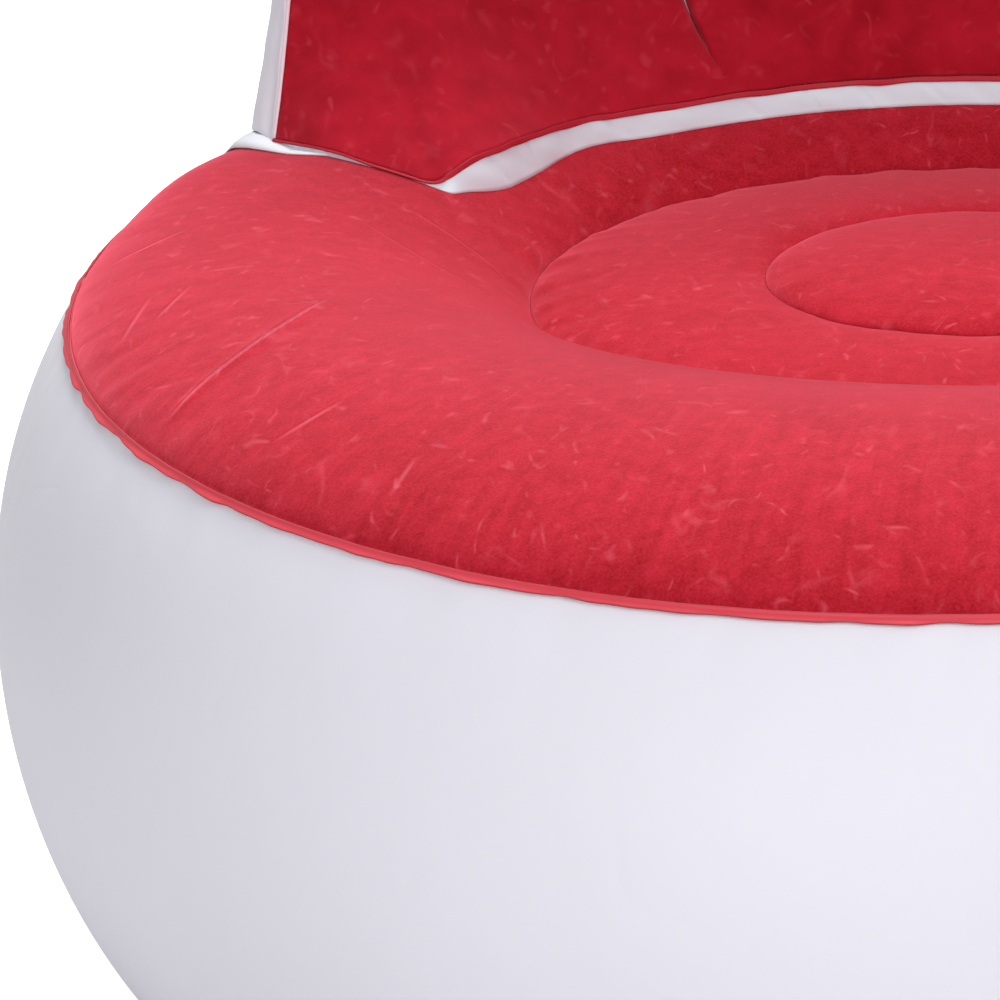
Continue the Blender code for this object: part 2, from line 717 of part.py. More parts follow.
def make_edge_band(parts):
    """The white band that joins front and rear panels up the sides and over the top."""
    front = edge_loop(inner_offset(front_grid(), 1))
    rear = edge_loop(inner_offset(rear_grid(), -1))
    chord = rear - front
    length = np.linalg.norm(chord, axis=1, keepdims=True)
    direction = chord / length
    tangent = np.gradient((front + rear) / 2, axis=0)
    outward = np.cross(tangent, direction)
    outward = outward / np.linalg.norm(outward, axis=1, keepdims=True)
    centre = np.array([0, REAR_SPINE_END_Y, RIM_HEIGHT])
    if np.sum(outward * (front - centre)) < 0:
        outward = -outward
    foot = side_foot()
    rows = []
    for row in range(BAND_ROWS + 1):
        share = row / BAND_ROWS
        swell = outward * length * BAND_SWELL_SHARE * crown(share, RING_FULLNESS_SHARE)
        line = front + chord * share + swell
        base = along(foot, [share])[0]
        line = settle_on_foot(line, base, FIT_GAP)
        rows.append(line)
    grid = np.stack(rows, axis=1)
    inner = (0, REAR_SPINE_END_Y, RIM_HEIGHT)
    return sheet("backrest_edge_band", grid, inner, WHITE_VINYL, parts)


def settle_on_foot(line, base, gap):
    """Bends both ends of a line down to a foot point on the left and its mirror on the right."""
    low = line[:, 2] - base[2]
    weight = np.exp(-np.clip(low, 0, None) / BAND_SETTLE_HEIGHT)
    line = line.copy()
    half = len(line) // 2
    for side, index, span in ((1, 0, slice(0, half)), (-1, -1, slice(half, len(line)))):
        goal = wing_side(base, side) + np.array([0, 0, gap])
        shift = goal - line[index]
        fall = weight[span] / weight[index]
        line[span] += shift * np.clip(fall, 0, 1)[:, None]
    return line


def make_beam(name, column, parts, helpers):
    """A tension beam that holds the front and rear panels together along one groove."""
    front = front_grid()[column, 1:-1]
    rear = rear_grid()[column, 1:-1]
    inset = SKIN + FIT_GAP * 3
    rows = []
    for line, facing in ((front, 1), (rear, -1)):
        rows.append(line + np.array([0, facing * inset, 0]))
    grid = np.stack(rows, axis=1)
    shift = np.array([BEAM_THICKNESS / 2, 0, 0])
    side = (-RIM_HALF_WIDTH, FRONT_SPINE_MID_Y, BACK_TOP_HEIGHT)
    beam = sheet(name, grid + shift, side, CLEAR_VINYL, parts, BEAM_THICKNESS)
    for index in range(BEAM_HOLES):
        share = (index + 0.5) / BEAM_HOLES
        place = along(grid.mean(axis=1), [share])[0]
        across = np.cross(grid[0, 1] - grid[0, 0], grid[-1, 0] - grid[0, 0])
        across[2] = 0
        matrix = facing_matrix(place, across)
        hole = round_cutter(
            f"{name}_hole_{index}", BEAM_AIR_HOLE_RADIUS, CUT_OVERRUN * 8, matrix, helpers
        )
        cut(beam, hole)
    return beam


def lathe(name, profile, frame, finish, collection):
    """A turned piece about the frame's Z axis. The profile runs down its outer side."""
    closed = profile[0][0] > 0
    mesh = bpy.data.meshes.new(name)
    points = [(radius, 0, height) for radius, height in profile]
    edges = [(index, index + 1) for index in range(len(points) - 1)]
    if closed:
        edges.append((len(points) - 1, 0))
    mesh.from_pydata(points, edges, [])
    piece = add_object(name, mesh, collection, finish)
    turn = piece.modifiers.new("turn", "SCREW")
    turn.steps = LATHE_STEPS
    turn.render_steps = LATHE_STEPS
    turn.use_merge_vertices = True
    turn.merge_threshold = MERGE_DISTANCE
    turn.use_smooth_shade = True
    piece.parent = frame
    return piece


def ring_profile(inner, outer, low, high):
    """The outline of a plain ring, down its outer side and back up its bore."""
    return [(outer, high), (outer, low), (inner, low), (inner, high)]


def make_housing(prefix, frame, parts):
    """The soft valve body whose flange is welded to the panel round its hole."""
    flange_top = FIT_GAP + FLANGE_THICKNESS
    profile = [
        (HOUSING_RADIUS, HOUSING_REACH_OUT),
        (HOUSING_RADIUS, flange_top),
        (FLANGE_RADIUS, flange_top),
        (FLANGE_RADIUS, FIT_GAP),
        (HOUSING_RADIUS, FIT_GAP),
        (HOUSING_RADIUS, -HOUSING_REACH_IN),
        (HOUSING_BORE, -HOUSING_REACH_IN),
        (HOUSING_BORE, HOUSING_REACH_OUT),
    ]
    return lathe(prefix + "_valve_housing", profile, frame, WHITE_VINYL, parts)


def make_insert_seal(prefix, frame, parts):
    """The flat washer under the insert's collar."""
    low = HOUSING_REACH_OUT + FIT_GAP
    profile = ring_profile(HOUSING_BORE, HOUSING_RADIUS, low, low + SEAL_THICKNESS)
    return lathe(prefix + "_insert_seal", profile, frame, SEAL_RUBBER, parts)


def make_insert(prefix, frame, parts, helpers):
    """The hard insert that screws into the housing and carries flap and cap."""
    profile = [
        (NECK_RADIUS, NECK_TOP),
        (NECK_RADIUS, COLLAR_TOP),
        (COLLAR_RADIUS, COLLAR_TOP),
        (COLLAR_RADIUS, COLLAR_BASE),
        (INSERT_RADIUS, COLLAR_BASE),
        (INSERT_RADIUS, -INSERT_REACH_IN),
        (VALVE_SEAT_BORE, -INSERT_REACH_IN),
        (VALVE_SEAT_BORE, SEAT_THICKNESS - INSERT_REACH_IN),
        (VALVE_BORE, SEAT_THICKNESS - INSERT_REACH_IN),
        (VALVE_BORE, NECK_TOP),
    ]
    insert = lathe(prefix + "_valve_insert", profile, frame, VALVE_PLASTIC, parts)
    height = (COLLAR_BASE + COLLAR_TOP) / 2
    notch_grip(insert, COLLAR_RADIUS, height, COLLAR_THICKNESS, GRIP_NOTCHES, helpers)
    return insert


def notch_grip(piece, radius, height, depth, count, helpers):
    """Cuts finger notches round a collar or cap."""
    for index in range(count):
        bearing = math.tau * (index + 0.5) / count
        reach = radius + GRIP_NOTCH_RADIUS / 2
        place = (reach * math.cos(bearing), reach * math.sin(bearing), height)
        notch = round_cutter(
            f"{piece.name}_notch_{index}",
            GRIP_NOTCH_RADIUS,
            depth * 2,
            Matrix.Translation(Vector(place)),
            helpers,
            sides=HOLE_SIDES // 2,
        )
        notch.parent = piece.parent
        cut(piece, notch)


def make_flap(prefix, frame, parts):
    """The check flap that air pressure closes on the insert's inner end, hinged at its top."""
    hinge = bpy.data.objects.new(prefix + "_flap_hinge", None)
    parts.objects.link(hinge)
    hinge.parent = frame
    hinge.location = (0, FLAP_RADIUS, -INSERT_REACH_IN - FIT_GAP - FLAP_THICKNESS / 2)
    form = bmesh.new()
    bmesh.ops.create_cone(
        form,
        cap_ends=True,
        segments=LATHE_STEPS,
        radius1=FLAP_RADIUS,
        radius2=FLAP_RADIUS,
        depth=FLAP_THICKNESS,
        matrix=Matrix.Translation((0, -FLAP_RADIUS, 0)),
    )
    mesh = bpy.data.meshes.new(prefix + "_check_flap")
    form.to_mesh(mesh)
    form.free()
    flap = add_object(prefix + "_check_flap", mesh, parts, SEAL_RUBBER)
    flap.parent = hinge
    return flap


def make_cap_seal(prefix, frame, parts):
    """The washer between the insert's neck and the cap."""
    low = NECK_TOP + FIT_GAP
    profile = ring_profile(VALVE_BORE, NECK_RADIUS, low, low + SEAL_THICKNESS)
    return lathe(prefix + "_cap_seal", profile, frame, SEAL_RUBBER, parts)


def make_cap(prefix, frame, parts, helpers):
    """The screw cap, with a button that its tether is buttoned on."""
    skirt_low = NECK_TOP - CAP_SKIRT_REACH
    profile = [
        (0, BUTTON_BASE + BUTTON_THICKNESS),
        (BUTTON_RADIUS, BUTTON_BASE + BUTTON_THICKNESS),
        (BUTTON_RADIUS, BUTTON_BASE),
        (STEM_RADIUS, BUTTON_BASE),
        (STEM_RADIUS, CAP_TOP),
        (CAP_RADIUS, CAP_TOP),
        (CAP_RADIUS, skirt_low),
        (CAP_BORE, skirt_low),
        (CAP_BORE, CAP_UNDERSIDE),
        (0, CAP_UNDERSIDE),
    ]
    cap = lathe(prefix + "_valve_cap", profile, frame, VALVE_PLASTIC, parts)
    middle = (skirt_low + CAP_TOP) / 2
    notch_grip(cap, CAP_RADIUS, middle, CAP_TOP - skirt_low, GRIP_NOTCHES, helpers)
    return cap


def make_tether(prefix, frame, parts, helpers):
    """The cap's tether: a ring round the neck, a bent strap, and a ring under the cap's button."""
    low = COLLAR_TOP + FIT_GAP
    neck_bore = NECK_RADIUS + FIT_GAP
    stem_bore = STEM_RADIUS + FIT_GAP
    high = CAP_TOP + FIT_GAP
    neck_ring = ring_profile(neck_bore, neck_bore + TETHER_RING_WALL, low, low + TETHER_THICKNESS)
    stem_ring = ring_profile(stem_bore, stem_bore + TETHER_RING_WALL, high, high + TETHER_THICKNESS)
    start = low + TETHER_THICKNESS / 2
    end = high + TETHER_THICKNESS / 2
    bend = (end - start) / 2
    centre = TETHER_LOOP_REACH - bend
    turns = np.linspace(-math.pi / 2, math.pi / 2, LATHE_STEPS // 2)
    path = [(neck_bore + TETHER_RING_WALL / 2, start)]
    path += [(centre + bend * math.cos(t), start + bend + bend * math.sin(t)) for t in turns]
    path.append((stem_bore + TETHER_RING_WALL / 2, end))
    half = TETHER_STRAP_WIDTH / 2
    grid = np.array([[(radius, side, height) for side in (-half, half)] for radius, height in path])
    inner = (centre, 0, (start + end) / 2)
    strap = sheet(prefix + "_cap_tether", grid, inner, WHITE_VINYL, parts, TETHER_STRAP_THICKNESS)
    strap.modifiers["thickness"].offset = 0
    strap.parent = frame
    for label, profile in (("neck_ring", neck_ring), ("stem_ring", stem_ring)):
        ring = lathe(f"{prefix}_tether_{label}", profile, frame, WHITE_VINYL, helpers)
        hide_helper(ring)
        fuse(strap, ring)
    return strap


def make_valve(prefix, place, axis, panel, parts, helpers):
    """A whole valve on a panel, in a frame at the panel's outer face."""
    frame = bpy.data.objects.new(prefix + "_valve_frame", None)
    parts.objects.link(frame)
    matrix = facing_matrix(place, axis)
    frame.matrix_world = matrix
    clear = HOUSING_RADIUS + FIT_GAP
    hole = round_cutter(
        prefix + "_valve_hole", clear, CUT_OVERRUN * 4, matrix, helpers, sides=LATHE_STEPS
    )
    cut(panel, hole)
    make_housing(prefix, frame, parts)
    make_insert_seal(prefix, frame, parts)
    make_insert(prefix, frame, parts, helpers)
    make_flap(prefix, frame, parts)
    make_cap_seal(prefix, frame, parts)
    make_cap(prefix, frame, parts, helpers)
    make_tether(prefix, frame, parts, helpers)


def base_valve_place():
    """The middle of the side wall's upright rear face."""
    bearing = np.array([COLUMN_ANGLE / 2])
    upper = wall_point(bearing, VALVE_ROW_ANGLE)[0]
    lower = wall_point(bearing, -VALVE_ROW_ANGLE)[0]
    return (0, upper[1], (upper[2] + lower[2]) / 2)


def main():
    clear_scene()
    parts = new_collection("inflatable chair")
    helpers = new_collection("cutters")
    make_seat_panel(parts)
    side_wall = make_side_wall(parts)
    make_bottom_panel(parts)
    make_round_band("outer_seat_band", OUTER_WELD_RADIUS, OUTER_WELD_HEIGHT, parts, helpers)
    make_round_band("inner_seat_band", INNER_WELD_RADIUS, INNER_WELD_HEIGHT, parts, helpers)
    make_foot_panel(parts)
    make_front_gusset(parts)
    make_front_panel(parts)
    rear_panel = make_rear_panel(parts)
    make_edge_band(parts)
    shares = panel_shares()
    across = 2 * shares - 1
    for side, label in ((-1, "left"), (0, "centre"), (1, "right")):
        column = int(np.argmin(np.abs(across - side * beam_share())))
        make_beam(f"backrest_{label}_beam", column, parts, helpers)
    make_valve("base", base_valve_place(), (0, 1, 0), side_wall, parts, helpers)
    place, axis = back_valve_pose(rear_grid())
    make_valve("back", place, axis, rear_panel, parts, helpers)


main()
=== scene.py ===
"""Inflatable one-seat chair: the sheets, seams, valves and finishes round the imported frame.

Metres, +Z up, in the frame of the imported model. The origin is on the floor under the
centre of the seat's round weld rings, and the sitter looks along -Y. A bearing is the
plan angle from +Y, the rear, turning towards +X. Every sheet is a function of two
parameters, worked out on a grid as whole arrays.
"""

import json
import math

import bpy
import numpy as np
from mathutils import Matrix, Vector

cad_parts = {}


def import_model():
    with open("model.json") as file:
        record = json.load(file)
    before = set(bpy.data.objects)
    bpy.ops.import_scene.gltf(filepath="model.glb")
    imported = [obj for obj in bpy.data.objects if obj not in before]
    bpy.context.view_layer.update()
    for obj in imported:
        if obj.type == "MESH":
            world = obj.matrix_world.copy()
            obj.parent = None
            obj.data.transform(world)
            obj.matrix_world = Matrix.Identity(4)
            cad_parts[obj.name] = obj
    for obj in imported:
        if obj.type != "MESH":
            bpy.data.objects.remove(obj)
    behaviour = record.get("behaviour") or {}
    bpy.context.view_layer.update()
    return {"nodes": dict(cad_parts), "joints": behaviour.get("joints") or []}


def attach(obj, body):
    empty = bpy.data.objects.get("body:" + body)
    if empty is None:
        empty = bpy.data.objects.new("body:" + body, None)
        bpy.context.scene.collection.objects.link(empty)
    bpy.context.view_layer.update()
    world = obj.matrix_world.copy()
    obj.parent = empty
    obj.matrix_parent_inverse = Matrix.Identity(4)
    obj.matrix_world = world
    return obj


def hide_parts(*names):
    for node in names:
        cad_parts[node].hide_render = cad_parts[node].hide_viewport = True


# Sheet stock
SKIN = 0.0008
FIT_GAP = 0.0003

# Base: rim weld, side wall, underside
RIM_HALF_WIDTH = 0.382
RIM_HALF_DEPTH = 0.436
RIM_CENTRE_Y = -0.0395
RIM_HEIGHT = 0.334
WALL_SWELL = 0.038
WALL_ROUNDNESS = 0.134
WIDEST_HEIGHT = 0.21
BOTTOM_SEAM_HEIGHT = 0.028
BOTTOM_SEAM_DIP = math.radians(75)
FLOOR_EDGE_INSET = 0.045
RIM_ANGLE = math.acos(1 - WALL_SWELL / WALL_ROUNDNESS)
UPPER_WALL_RISE = (RIM_HEIGHT - WIDEST_HEIGHT) / math.sin(RIM_ANGLE)
LOWER_WALL_DROP = (WIDEST_HEIGHT - BOTTOM_SEAM_HEIGHT) / math.sin(BOTTOM_SEAM_DIP)
BOTTOM_SEAM_REACH = WALL_SWELL - WALL_ROUNDNESS * (1 - math.cos(BOTTOM_SEAM_DIP))

# Seat: two round welds, a raised ring round them, crowned middle ring and disc
OUTER_WELD_RADIUS = 0.196
OUTER_WELD_HEIGHT = 0.313
INNER_WELD_RADIUS = 0.092
INNER_WELD_HEIGHT = 0.321
RING_CROWN_SHARE = 0.165
SIDE_SWELL = 0.0012
SIDE_BULGE = 0.0070
SIDE_SWELL_BEARING = math.radians(85)
SIDE_SWELL_SPREAD = math.radians(9)
MIDDLE_CROWN = 0.008
DISC_CROWN = 0.014
RING_FULLNESS = 0.66
SEAT_FULLNESS = 0.45
UNDERSIDE_GROOVE = 0.004
GROOVE_HALF_WIDTH = 0.009

# Foot of the backrest on the seat ring
FOOT_RADIUS = 0.228
FOOT_SWING = 0.005
FOOT_SWING_BEARING = math.radians(59)
FOOT_SWING_SPREAD = math.radians(8)
NOSE_SETBACK = 0.013
NOSE_TURN = math.radians(2.3)
NOSE_SPREAD = math.radians(5)
WING_BEARING = math.radians(86.25)
WING_SLANT = math.radians(9.2)
WING_SPREAD = math.radians(25)
WING_BEND = 2.2
WING_CORNER_SHARE = 0.68
WING_ACROSS = 23 / 29
FOOT_SMOOTHING = 0.004
SEAM_SMOOTHING = 0.011
FOOT_ROUNDING = ((0.022, 0.0, 0.020), (0.036, 0.008, 0.030), (0.060, 0.020, 0.060))
TOE_SWELL = 0.0032
TOE_HEIGHT = 0.010
FOOT_WEDGE = math.radians(2.3)
FOOT_TUCK = math.radians(0.7)
FOOT_HIDE = 0.03
APRON_RISE = 0.0045
APRON_EDGE = 0.006
GUSSET_RISE = 0.0095
GUSSET_HUMP = 0.0058
GUSSET_HUMP_BEARING = math.radians(72.5)
GUSSET_HUMP_SPREAD = math.radians(9)
GUSSET_TAIL = 0.045
GUSSET_LEAST = 0.0006
GUSSET_LEAN = 0.004

# Backrest chamber
BACK_TOP_HEIGHT = 0.744
SIDE_EDGE_HEIGHT = 0.16
BACK_LEAN = math.radians(8)
BACK_TAPER = math.radians(4)
FRONT_SPINE = (0.335, 0.09, 0.25)
REAR_SPINE = (0.300, 0.222, 0.398)
FRONT_SETTLE_HEIGHT = 0.055
REAR_SETTLE_HEIGHT = 0.12
BEAM_SPINE_ANGLE = math.radians(36)
BEAM_ACROSS = 10 / 29
FRONT_LOBE_SHARE = 0.19
REAR_LOBE_SHARE = 0.17
BAND_SWELL_SHARE = 0.215
BAND_FOOT_SWELL = 0.075
BAND_SETTLE_HEIGHT = 0.05
GROOVE_WIDTH = 0.0032
GROOVE_DEPTH = 0.0070
GROOVE_EASE = 0.018
GROOVES = ((BEAM_ACROSS, 0.007), (0.0, 0.026))
ARCH_POWER = 2.4
ROW_CROWDING = 1.35
REAR_FOOT_SHARE = 0.9
REAR_CORNER_BEARING = math.radians(56.25)

# Two-part screw valve, sizes from its axis and from the panel's outer face
VALVE_BORE = 0.011
VALVE_SEAT_BORE = 0.0085
INSERT_RADIUS = 0.015
INSERT_REACH_IN = 0.0095
SEAT_THICKNESS = 0.002
HOUSING_BORE = 0.0153
HOUSING_RADIUS = 0.0171
HOUSING_REACH_IN = 0.013
HOUSING_REACH_OUT = 0.006
FLANGE_RADIUS = 0.024
FLANGE_THICKNESS = 0.0009
SEAL_THICKNESS = 0.001
COLLAR_RADIUS = 0.019
COLLAR_BASE = 0.0076
COLLAR_TOP = 0.0106
NECK_RADIUS = 0.0128
NECK_TOP = 0.0181
CAP_SKIRT_LOW = 0.0128
CAP_UNDERSIDE = 0.0197
CAP_TOP = 0.0217
CAP_BORE = 0.0131
CAP_RADIUS = 0.0155
STEM_RADIUS = 0.0035
BUTTON_RADIUS = 0.0055
BUTTON_BASE = 0.024
BUTTON_TOP = 0.0254
FLAP_RADIUS = 0.0105
FLAP_THICKNESS = 0.0008
TETHER_THICKNESS = 0.001
TETHER_STRAP_THICKNESS = 0.0008
TETHER_STRAP_WIDTH = 0.005
TETHER_RING_WALL = 0.0034
TETHER_LOOP_REACH = 0.025
THREAD_PITCH = 0.004
CAP_THREAD_PITCH = 0.003
THREAD_DEPTH = 0.0006
PAD_RADIUS = 0.027
PAD_FADE = 0.03

# Gathers (reach, height and seed), folds and seam margins
PILE_DEPTH = 0.00011
FLOCK_MARK_SHARE = 0.33
PUCKER_ROUND = 0.48
RIM_MARGIN_WIDTH = 0.0031
RIM_BEAD = 0.0006
PANEL_MARGIN_WIDTH = 0.0026
OUTER_WELD_GATHER = (0.014, 0.0007, 1.0)
INNER_WELD_GATHER = (0.010, 0.0004, 2.0)
RIM_GATHER = (0.026, 0.0004, 3.0)
WALL_TOP_GATHER = (0.020, 0.0009, 5.0)
WALL_FOOT_GATHER = (0.018, 0.0010, 7.0)
PANEL_GATHER = (0.022, 0.0009)
FOOT_GATHER = (0.03, 0.0005, 6.0)
BAND_GATHER = (0.02, 0.0008, 15.0)
BOTTOM_MARGIN_WIDTH = 0.0062
STRIP_FOLD_APART = 0.053
STRIP_FOLD_SLANT = 0.012
STRIP_CREASE_APART = 0.041
STRIP_CREASE_WIDTH = 0.0024
STRIP_CREASE_DEPTH = 0.0007
# Each fold: start, middle, end, width, rise and paleness, on X and Y or on X and Z
SEAT_FOLDS = (
    ((-0.2810, -0.3201), (-0.2600, -0.2700), (-0.2430, -0.1950), 0.0011, 0.0009, 0.5),
    ((-0.3242, -0.2322), (-0.3243, -0.2074), (-0.3243, -0.1803), 0.0009, 0.0003, 0.3),
    ((-0.3136, -0.2151), (-0.3110, -0.1959), (-0.3086, -0.1748), 0.0009, 0.0003, 0.3),
    ((-0.2266, -0.3602), (-0.2150, -0.3490), (-0.2035, -0.3342), 0.0010, 0.0003, 0.3),
    ((-0.1684, -0.4125), (-0.1653, -0.4013), (-0.1626, -0.3887), 0.0010, 0.0003, 0.3),
    ((-0.3647, -0.1160), (-0.3500, -0.1040), (-0.3348, -0.0816), 0.0010, 0.0002, 0.3),
    ((-0.2656, -0.0492), (-0.2236, -0.0850), (-0.1829, -0.1085), 0.0010, 0.0002, 0.15),
    ((-0.2567, -0.0095), (-0.2275, -0.0280), (-0.1967, -0.0441), 0.0010, 0.0002, 0.15),
    ((0.2100, -0.3700), (0.1900, -0.3200), (0.1850, -0.2700), 0.0014, 0.0008, 0.25),
    ((0.3280, -0.1500), (0.3050, -0.1100), (0.2850, -0.0500), 0.0014, 0.0005, 0.2),
)
CREASE_HEIGHT = 0.0012
CREASE_BREADTH = 2.6
CREASE_BEARING = math.radians(-131.5)
CREASE_SPREAD = math.radians(9)
CREASE_CROWDING = 8
BACK_FOLDS = (
    ((-0.2700, 0.4200), (-0.2500, 0.4050), (-0.2300, 0.3900), 0.0060, -0.0012, 0.0),
    ((-0.2600, 0.4300), (-0.2500, 0.4420), (-0.2350, 0.4550), 0.0012, 0.0003, 0.3),
)

# Flocking's dark, light and worn red. The backrest's reds are darker than the seat's: painted shade
# on the same flocking.
SEAT_REDS = ((0.27, 0.0002, 0.003), (0.59, 0.020, 0.042), (0.90, 0.16, 0.21))
SHADED_BACK_REDS = ((0.22, 0.0003, 0.006), (0.56, 0.012, 0.032), (0.68, 0.08, 0.11))
SHEEN_TINT = (1.0, 0.18, 0.245, 1)

# Vinyls: key, name, two colours, roughness, bump distance, and sizes of waves and creases
VINYLS = (
    ("pressed", "pressed red margin", (0.62, 0.035, 0.055), (0.74, 0.060, 0.085), 0.45, 0.0004, ()),
    # The rim margin's cut edge is a darker red than the margin itself: painted shade under the
    # margin's edge.
    ("edge", "cut sheet edge in painted shade", (0.34, 0.02, 0.035), (0.44, 0.04, 0.06), 0.6, 0.0002, ()),
    # The flocking's cut edge at the rim weld is pale pink: a painted highlight of the pressed weld
    # line catching light.
    (
        "flock edge highlight", "cut edge of the flocking in painted highlight",
        (0.86, 0.16, 0.20), (0.92, 0.24, 0.28), 0.5, 0.0002, (),
    ),
    (
        "foot margin", "pressed flock margin",
        (0.40, 0.006, 0.022), (0.52, 0.013, 0.034), 0.6, 0.0004, (),
    ),
    ("white", "satin white vinyl", (0.77, 0.75, 0.80), (0.80, 0.78, 0.84), 0.5, 0.0012, ()),
    # The foot sheet's white is lighter and bluer than the wall's: painted light that lifts the
    # backrest's shade and the seat's red bounce on it.
    (
        "creased", "creased white vinyl with painted light",
        (0.82, 0.84, 0.88), (0.86, 0.88, 0.92), 0.42, 0.0006, (22.0, 30.0, 0.15),
    ),
    # The strip's white is tinted blue-green to cancel the red light it takes from the seat and
    # panel: painted light.
    (
        "strip", "creased white strip vinyl tinted against red bounce",
        (0.70, 0.82, 0.88), (0.74, 0.86, 0.92), 0.5, 0.0006, (22.0, 30.0, 0.15),
    ),
    (
        "weld line", "weld line beside the flocking",
        (0.84, 0.62, 0.67), (0.88, 0.70, 0.75), 0.5, 0.0002, (),
    ),
    ("milky", "milky band sheet", (0.78, 0.79, 0.82), (0.84, 0.85, 0.88), 0.3, 0.0006, ()),
    (
        "soft", "soft moulded valve vinyl",
        (0.80, 0.79, 0.84), (0.85, 0.84, 0.88), 0.4, 0.0002, (160.0, 240.0),
    ),
    (
        "plastic", "hard valve plastic",
        (0.84, 0.84, 0.86), (0.88, 0.88, 0.90), 0.3, 0.0001, (260.0, 400.0),
    ),
    (
        "rubber", "grey seal rubber",
        (0.50, 0.51, 0.53), (0.58, 0.59, 0.61), 0.65, 0.0002, (300.0, 500.0),
    ),
)

# Camera, fitted to the photograph
CAMERA_PLACE = (0.33857, -2.50375, 1.07952)
CAMERA_RIGHT = (0.97776153, 0.20829833, -0.02437628)
CAMERA_UP = (-0.04453074, 0.31978739, 0.94644231)
CAMERA_AHEAD = (-0.20493758, 0.92430938, -0.32195149)
CAMERA_LENS = 214.63

# Lights: name, place, target, size, power and colour
LIGHTS = (
    ("top light", (-0.2, 1.3, 2.6), (0, 0, 0.3), (1.3, 1.3), 74.0, (1.0, 0.99, 0.98)),
    ("side light", (2.3, -2.6, 2.9), (0, 0, 0.25), (1.5, 1.5), 54.0, (0.98, 0.98, 1.0)),
    ("low light", (-0.3, -3.3, 0.9), (0, 0, 0.25), (1.8, 0.9), 25.0, (0.98, 0.98, 1.0)),
)
FLOOR_REACH = 14.0


# Shapes in plan and section


def directions(bearing):
    """Unit plan directions: the sine and cosine of each bearing."""
    return np.stack([np.sin(bearing), np.cos(bearing)], axis=-1)


def rim_reach(bearing, outset=0.0):
    """Distance from the seat's centre to the rim oval grown by outset.

    It is the positive root r of ((r sin b)/a)^2 + ((r cos b - c)/d)^2 = 1.
    """
    a, d = RIM_HALF_WIDTH + outset, RIM_HALF_DEPTH + outset
    square = (np.sin(bearing) / a) ** 2 + (np.cos(bearing) / d) ** 2
    linear = np.cos(bearing) * RIM_CENTRE_Y / d**2
    constant = (RIM_CENTRE_Y / d) ** 2 - 1
    return (linear + np.sqrt(linear**2 - square * constant)) / square


def crown(share, fullness):
    """A hump over a span: one minus the square of twice the share less one, to a power."""
    return np.clip(1 - (2 * share - 1) ** 2, 0, None) ** fullness


def beside_wings(bearing, ring):
    """1 on the ring's outer flank beside the wings: a bell of bearing times a sine of share."""
    bell = np.exp(-(((np.abs(bearing) - SIDE_SWELL_BEARING) / SIDE_SWELL_SPREAD) ** 2))
    return bell * np.sin(math.pi * np.clip((ring - 0.72) / 0.28, 0, 1)) ** 0.8


def side_bulge(bearing, radius):
    """How far the ring's outer flank bulges outwards beside the wings."""
    span = rim_reach(bearing) - OUTER_WELD_RADIUS
    return SIDE_BULGE * beside_wings(bearing, (radius - OUTER_WELD_RADIUS) / span)


def seat_lift(bearing, radius):
    """Height of the seat's face.

    The ring is a straight line from weld to rim plus a crown, with a small outer swell
    beside the wings. The middle ring is likewise between its welds, and the disc is a cap
    whose height falls with its radius squared.
    """
    span = rim_reach(bearing) - OUTER_WELD_RADIUS
    ring = np.clip((radius - OUTER_WELD_RADIUS) / span, 0, 1)
    ring_height = OUTER_WELD_HEIGHT + (RIM_HEIGHT - OUTER_WELD_HEIGHT) * ring
    ring_height = ring_height + RING_CROWN_SHARE * span * crown(ring, RING_FULLNESS)
    ring_height = ring_height + SIDE_SWELL * beside_wings(bearing, ring)
    middle = (radius - INNER_WELD_RADIUS) / (OUTER_WELD_RADIUS - INNER_WELD_RADIUS)
    middle = np.clip(middle, 0, 1)
    middle_height = INNER_WELD_HEIGHT + (OUTER_WELD_HEIGHT - INNER_WELD_HEIGHT) * middle
    middle_height = middle_height + MIDDLE_CROWN * crown(middle, SEAT_FULLNESS)
    disc = np.clip(radius / INNER_WELD_RADIUS, 0, 1)
    disc_height = INNER_WELD_HEIGHT + DISC_CROWN * (1 - disc**2) ** SEAT_FULLNESS
    height = np.where(radius > OUTER_WELD_RADIUS, ring_height, middle_height)
    return np.where(radius < INNER_WELD_RADIUS, disc_height, height)


def polar(bearing, radius, height):
    """Points at a bearing, radius and height."""
    bearing, radius, height = np.broadcast_arrays(bearing, radius, height)
    return np.concatenate([directions(bearing) * radius[..., None], height[..., None]], -1)


def round_bearings(count):
    """Even bearings all the way round, as one row."""
    return np.linspace(-math.pi, math.pi, count, endpoint=False)[None, :]


def wall_points(bearing, angle, outset=0.0):
    """Points of the side wall: bearing round the oval and angle round its bulge.

    The oval is set out by the swell less a cosine, and the height goes with the sine.
    """
    bearing, angle = np.broadcast_arrays(bearing, angle)
    reach = WALL_SWELL - WALL_ROUNDNESS * (1 - np.cos(angle)) + outset * np.cos(angle)
    rise = np.where(angle > 0, UPPER_WALL_RISE, LOWER_WALL_DROP)
    height = WIDEST_HEIGHT + (rise + outset) * np.sin(angle)
    return polar(bearing, rim_reach(bearing, reach), height)


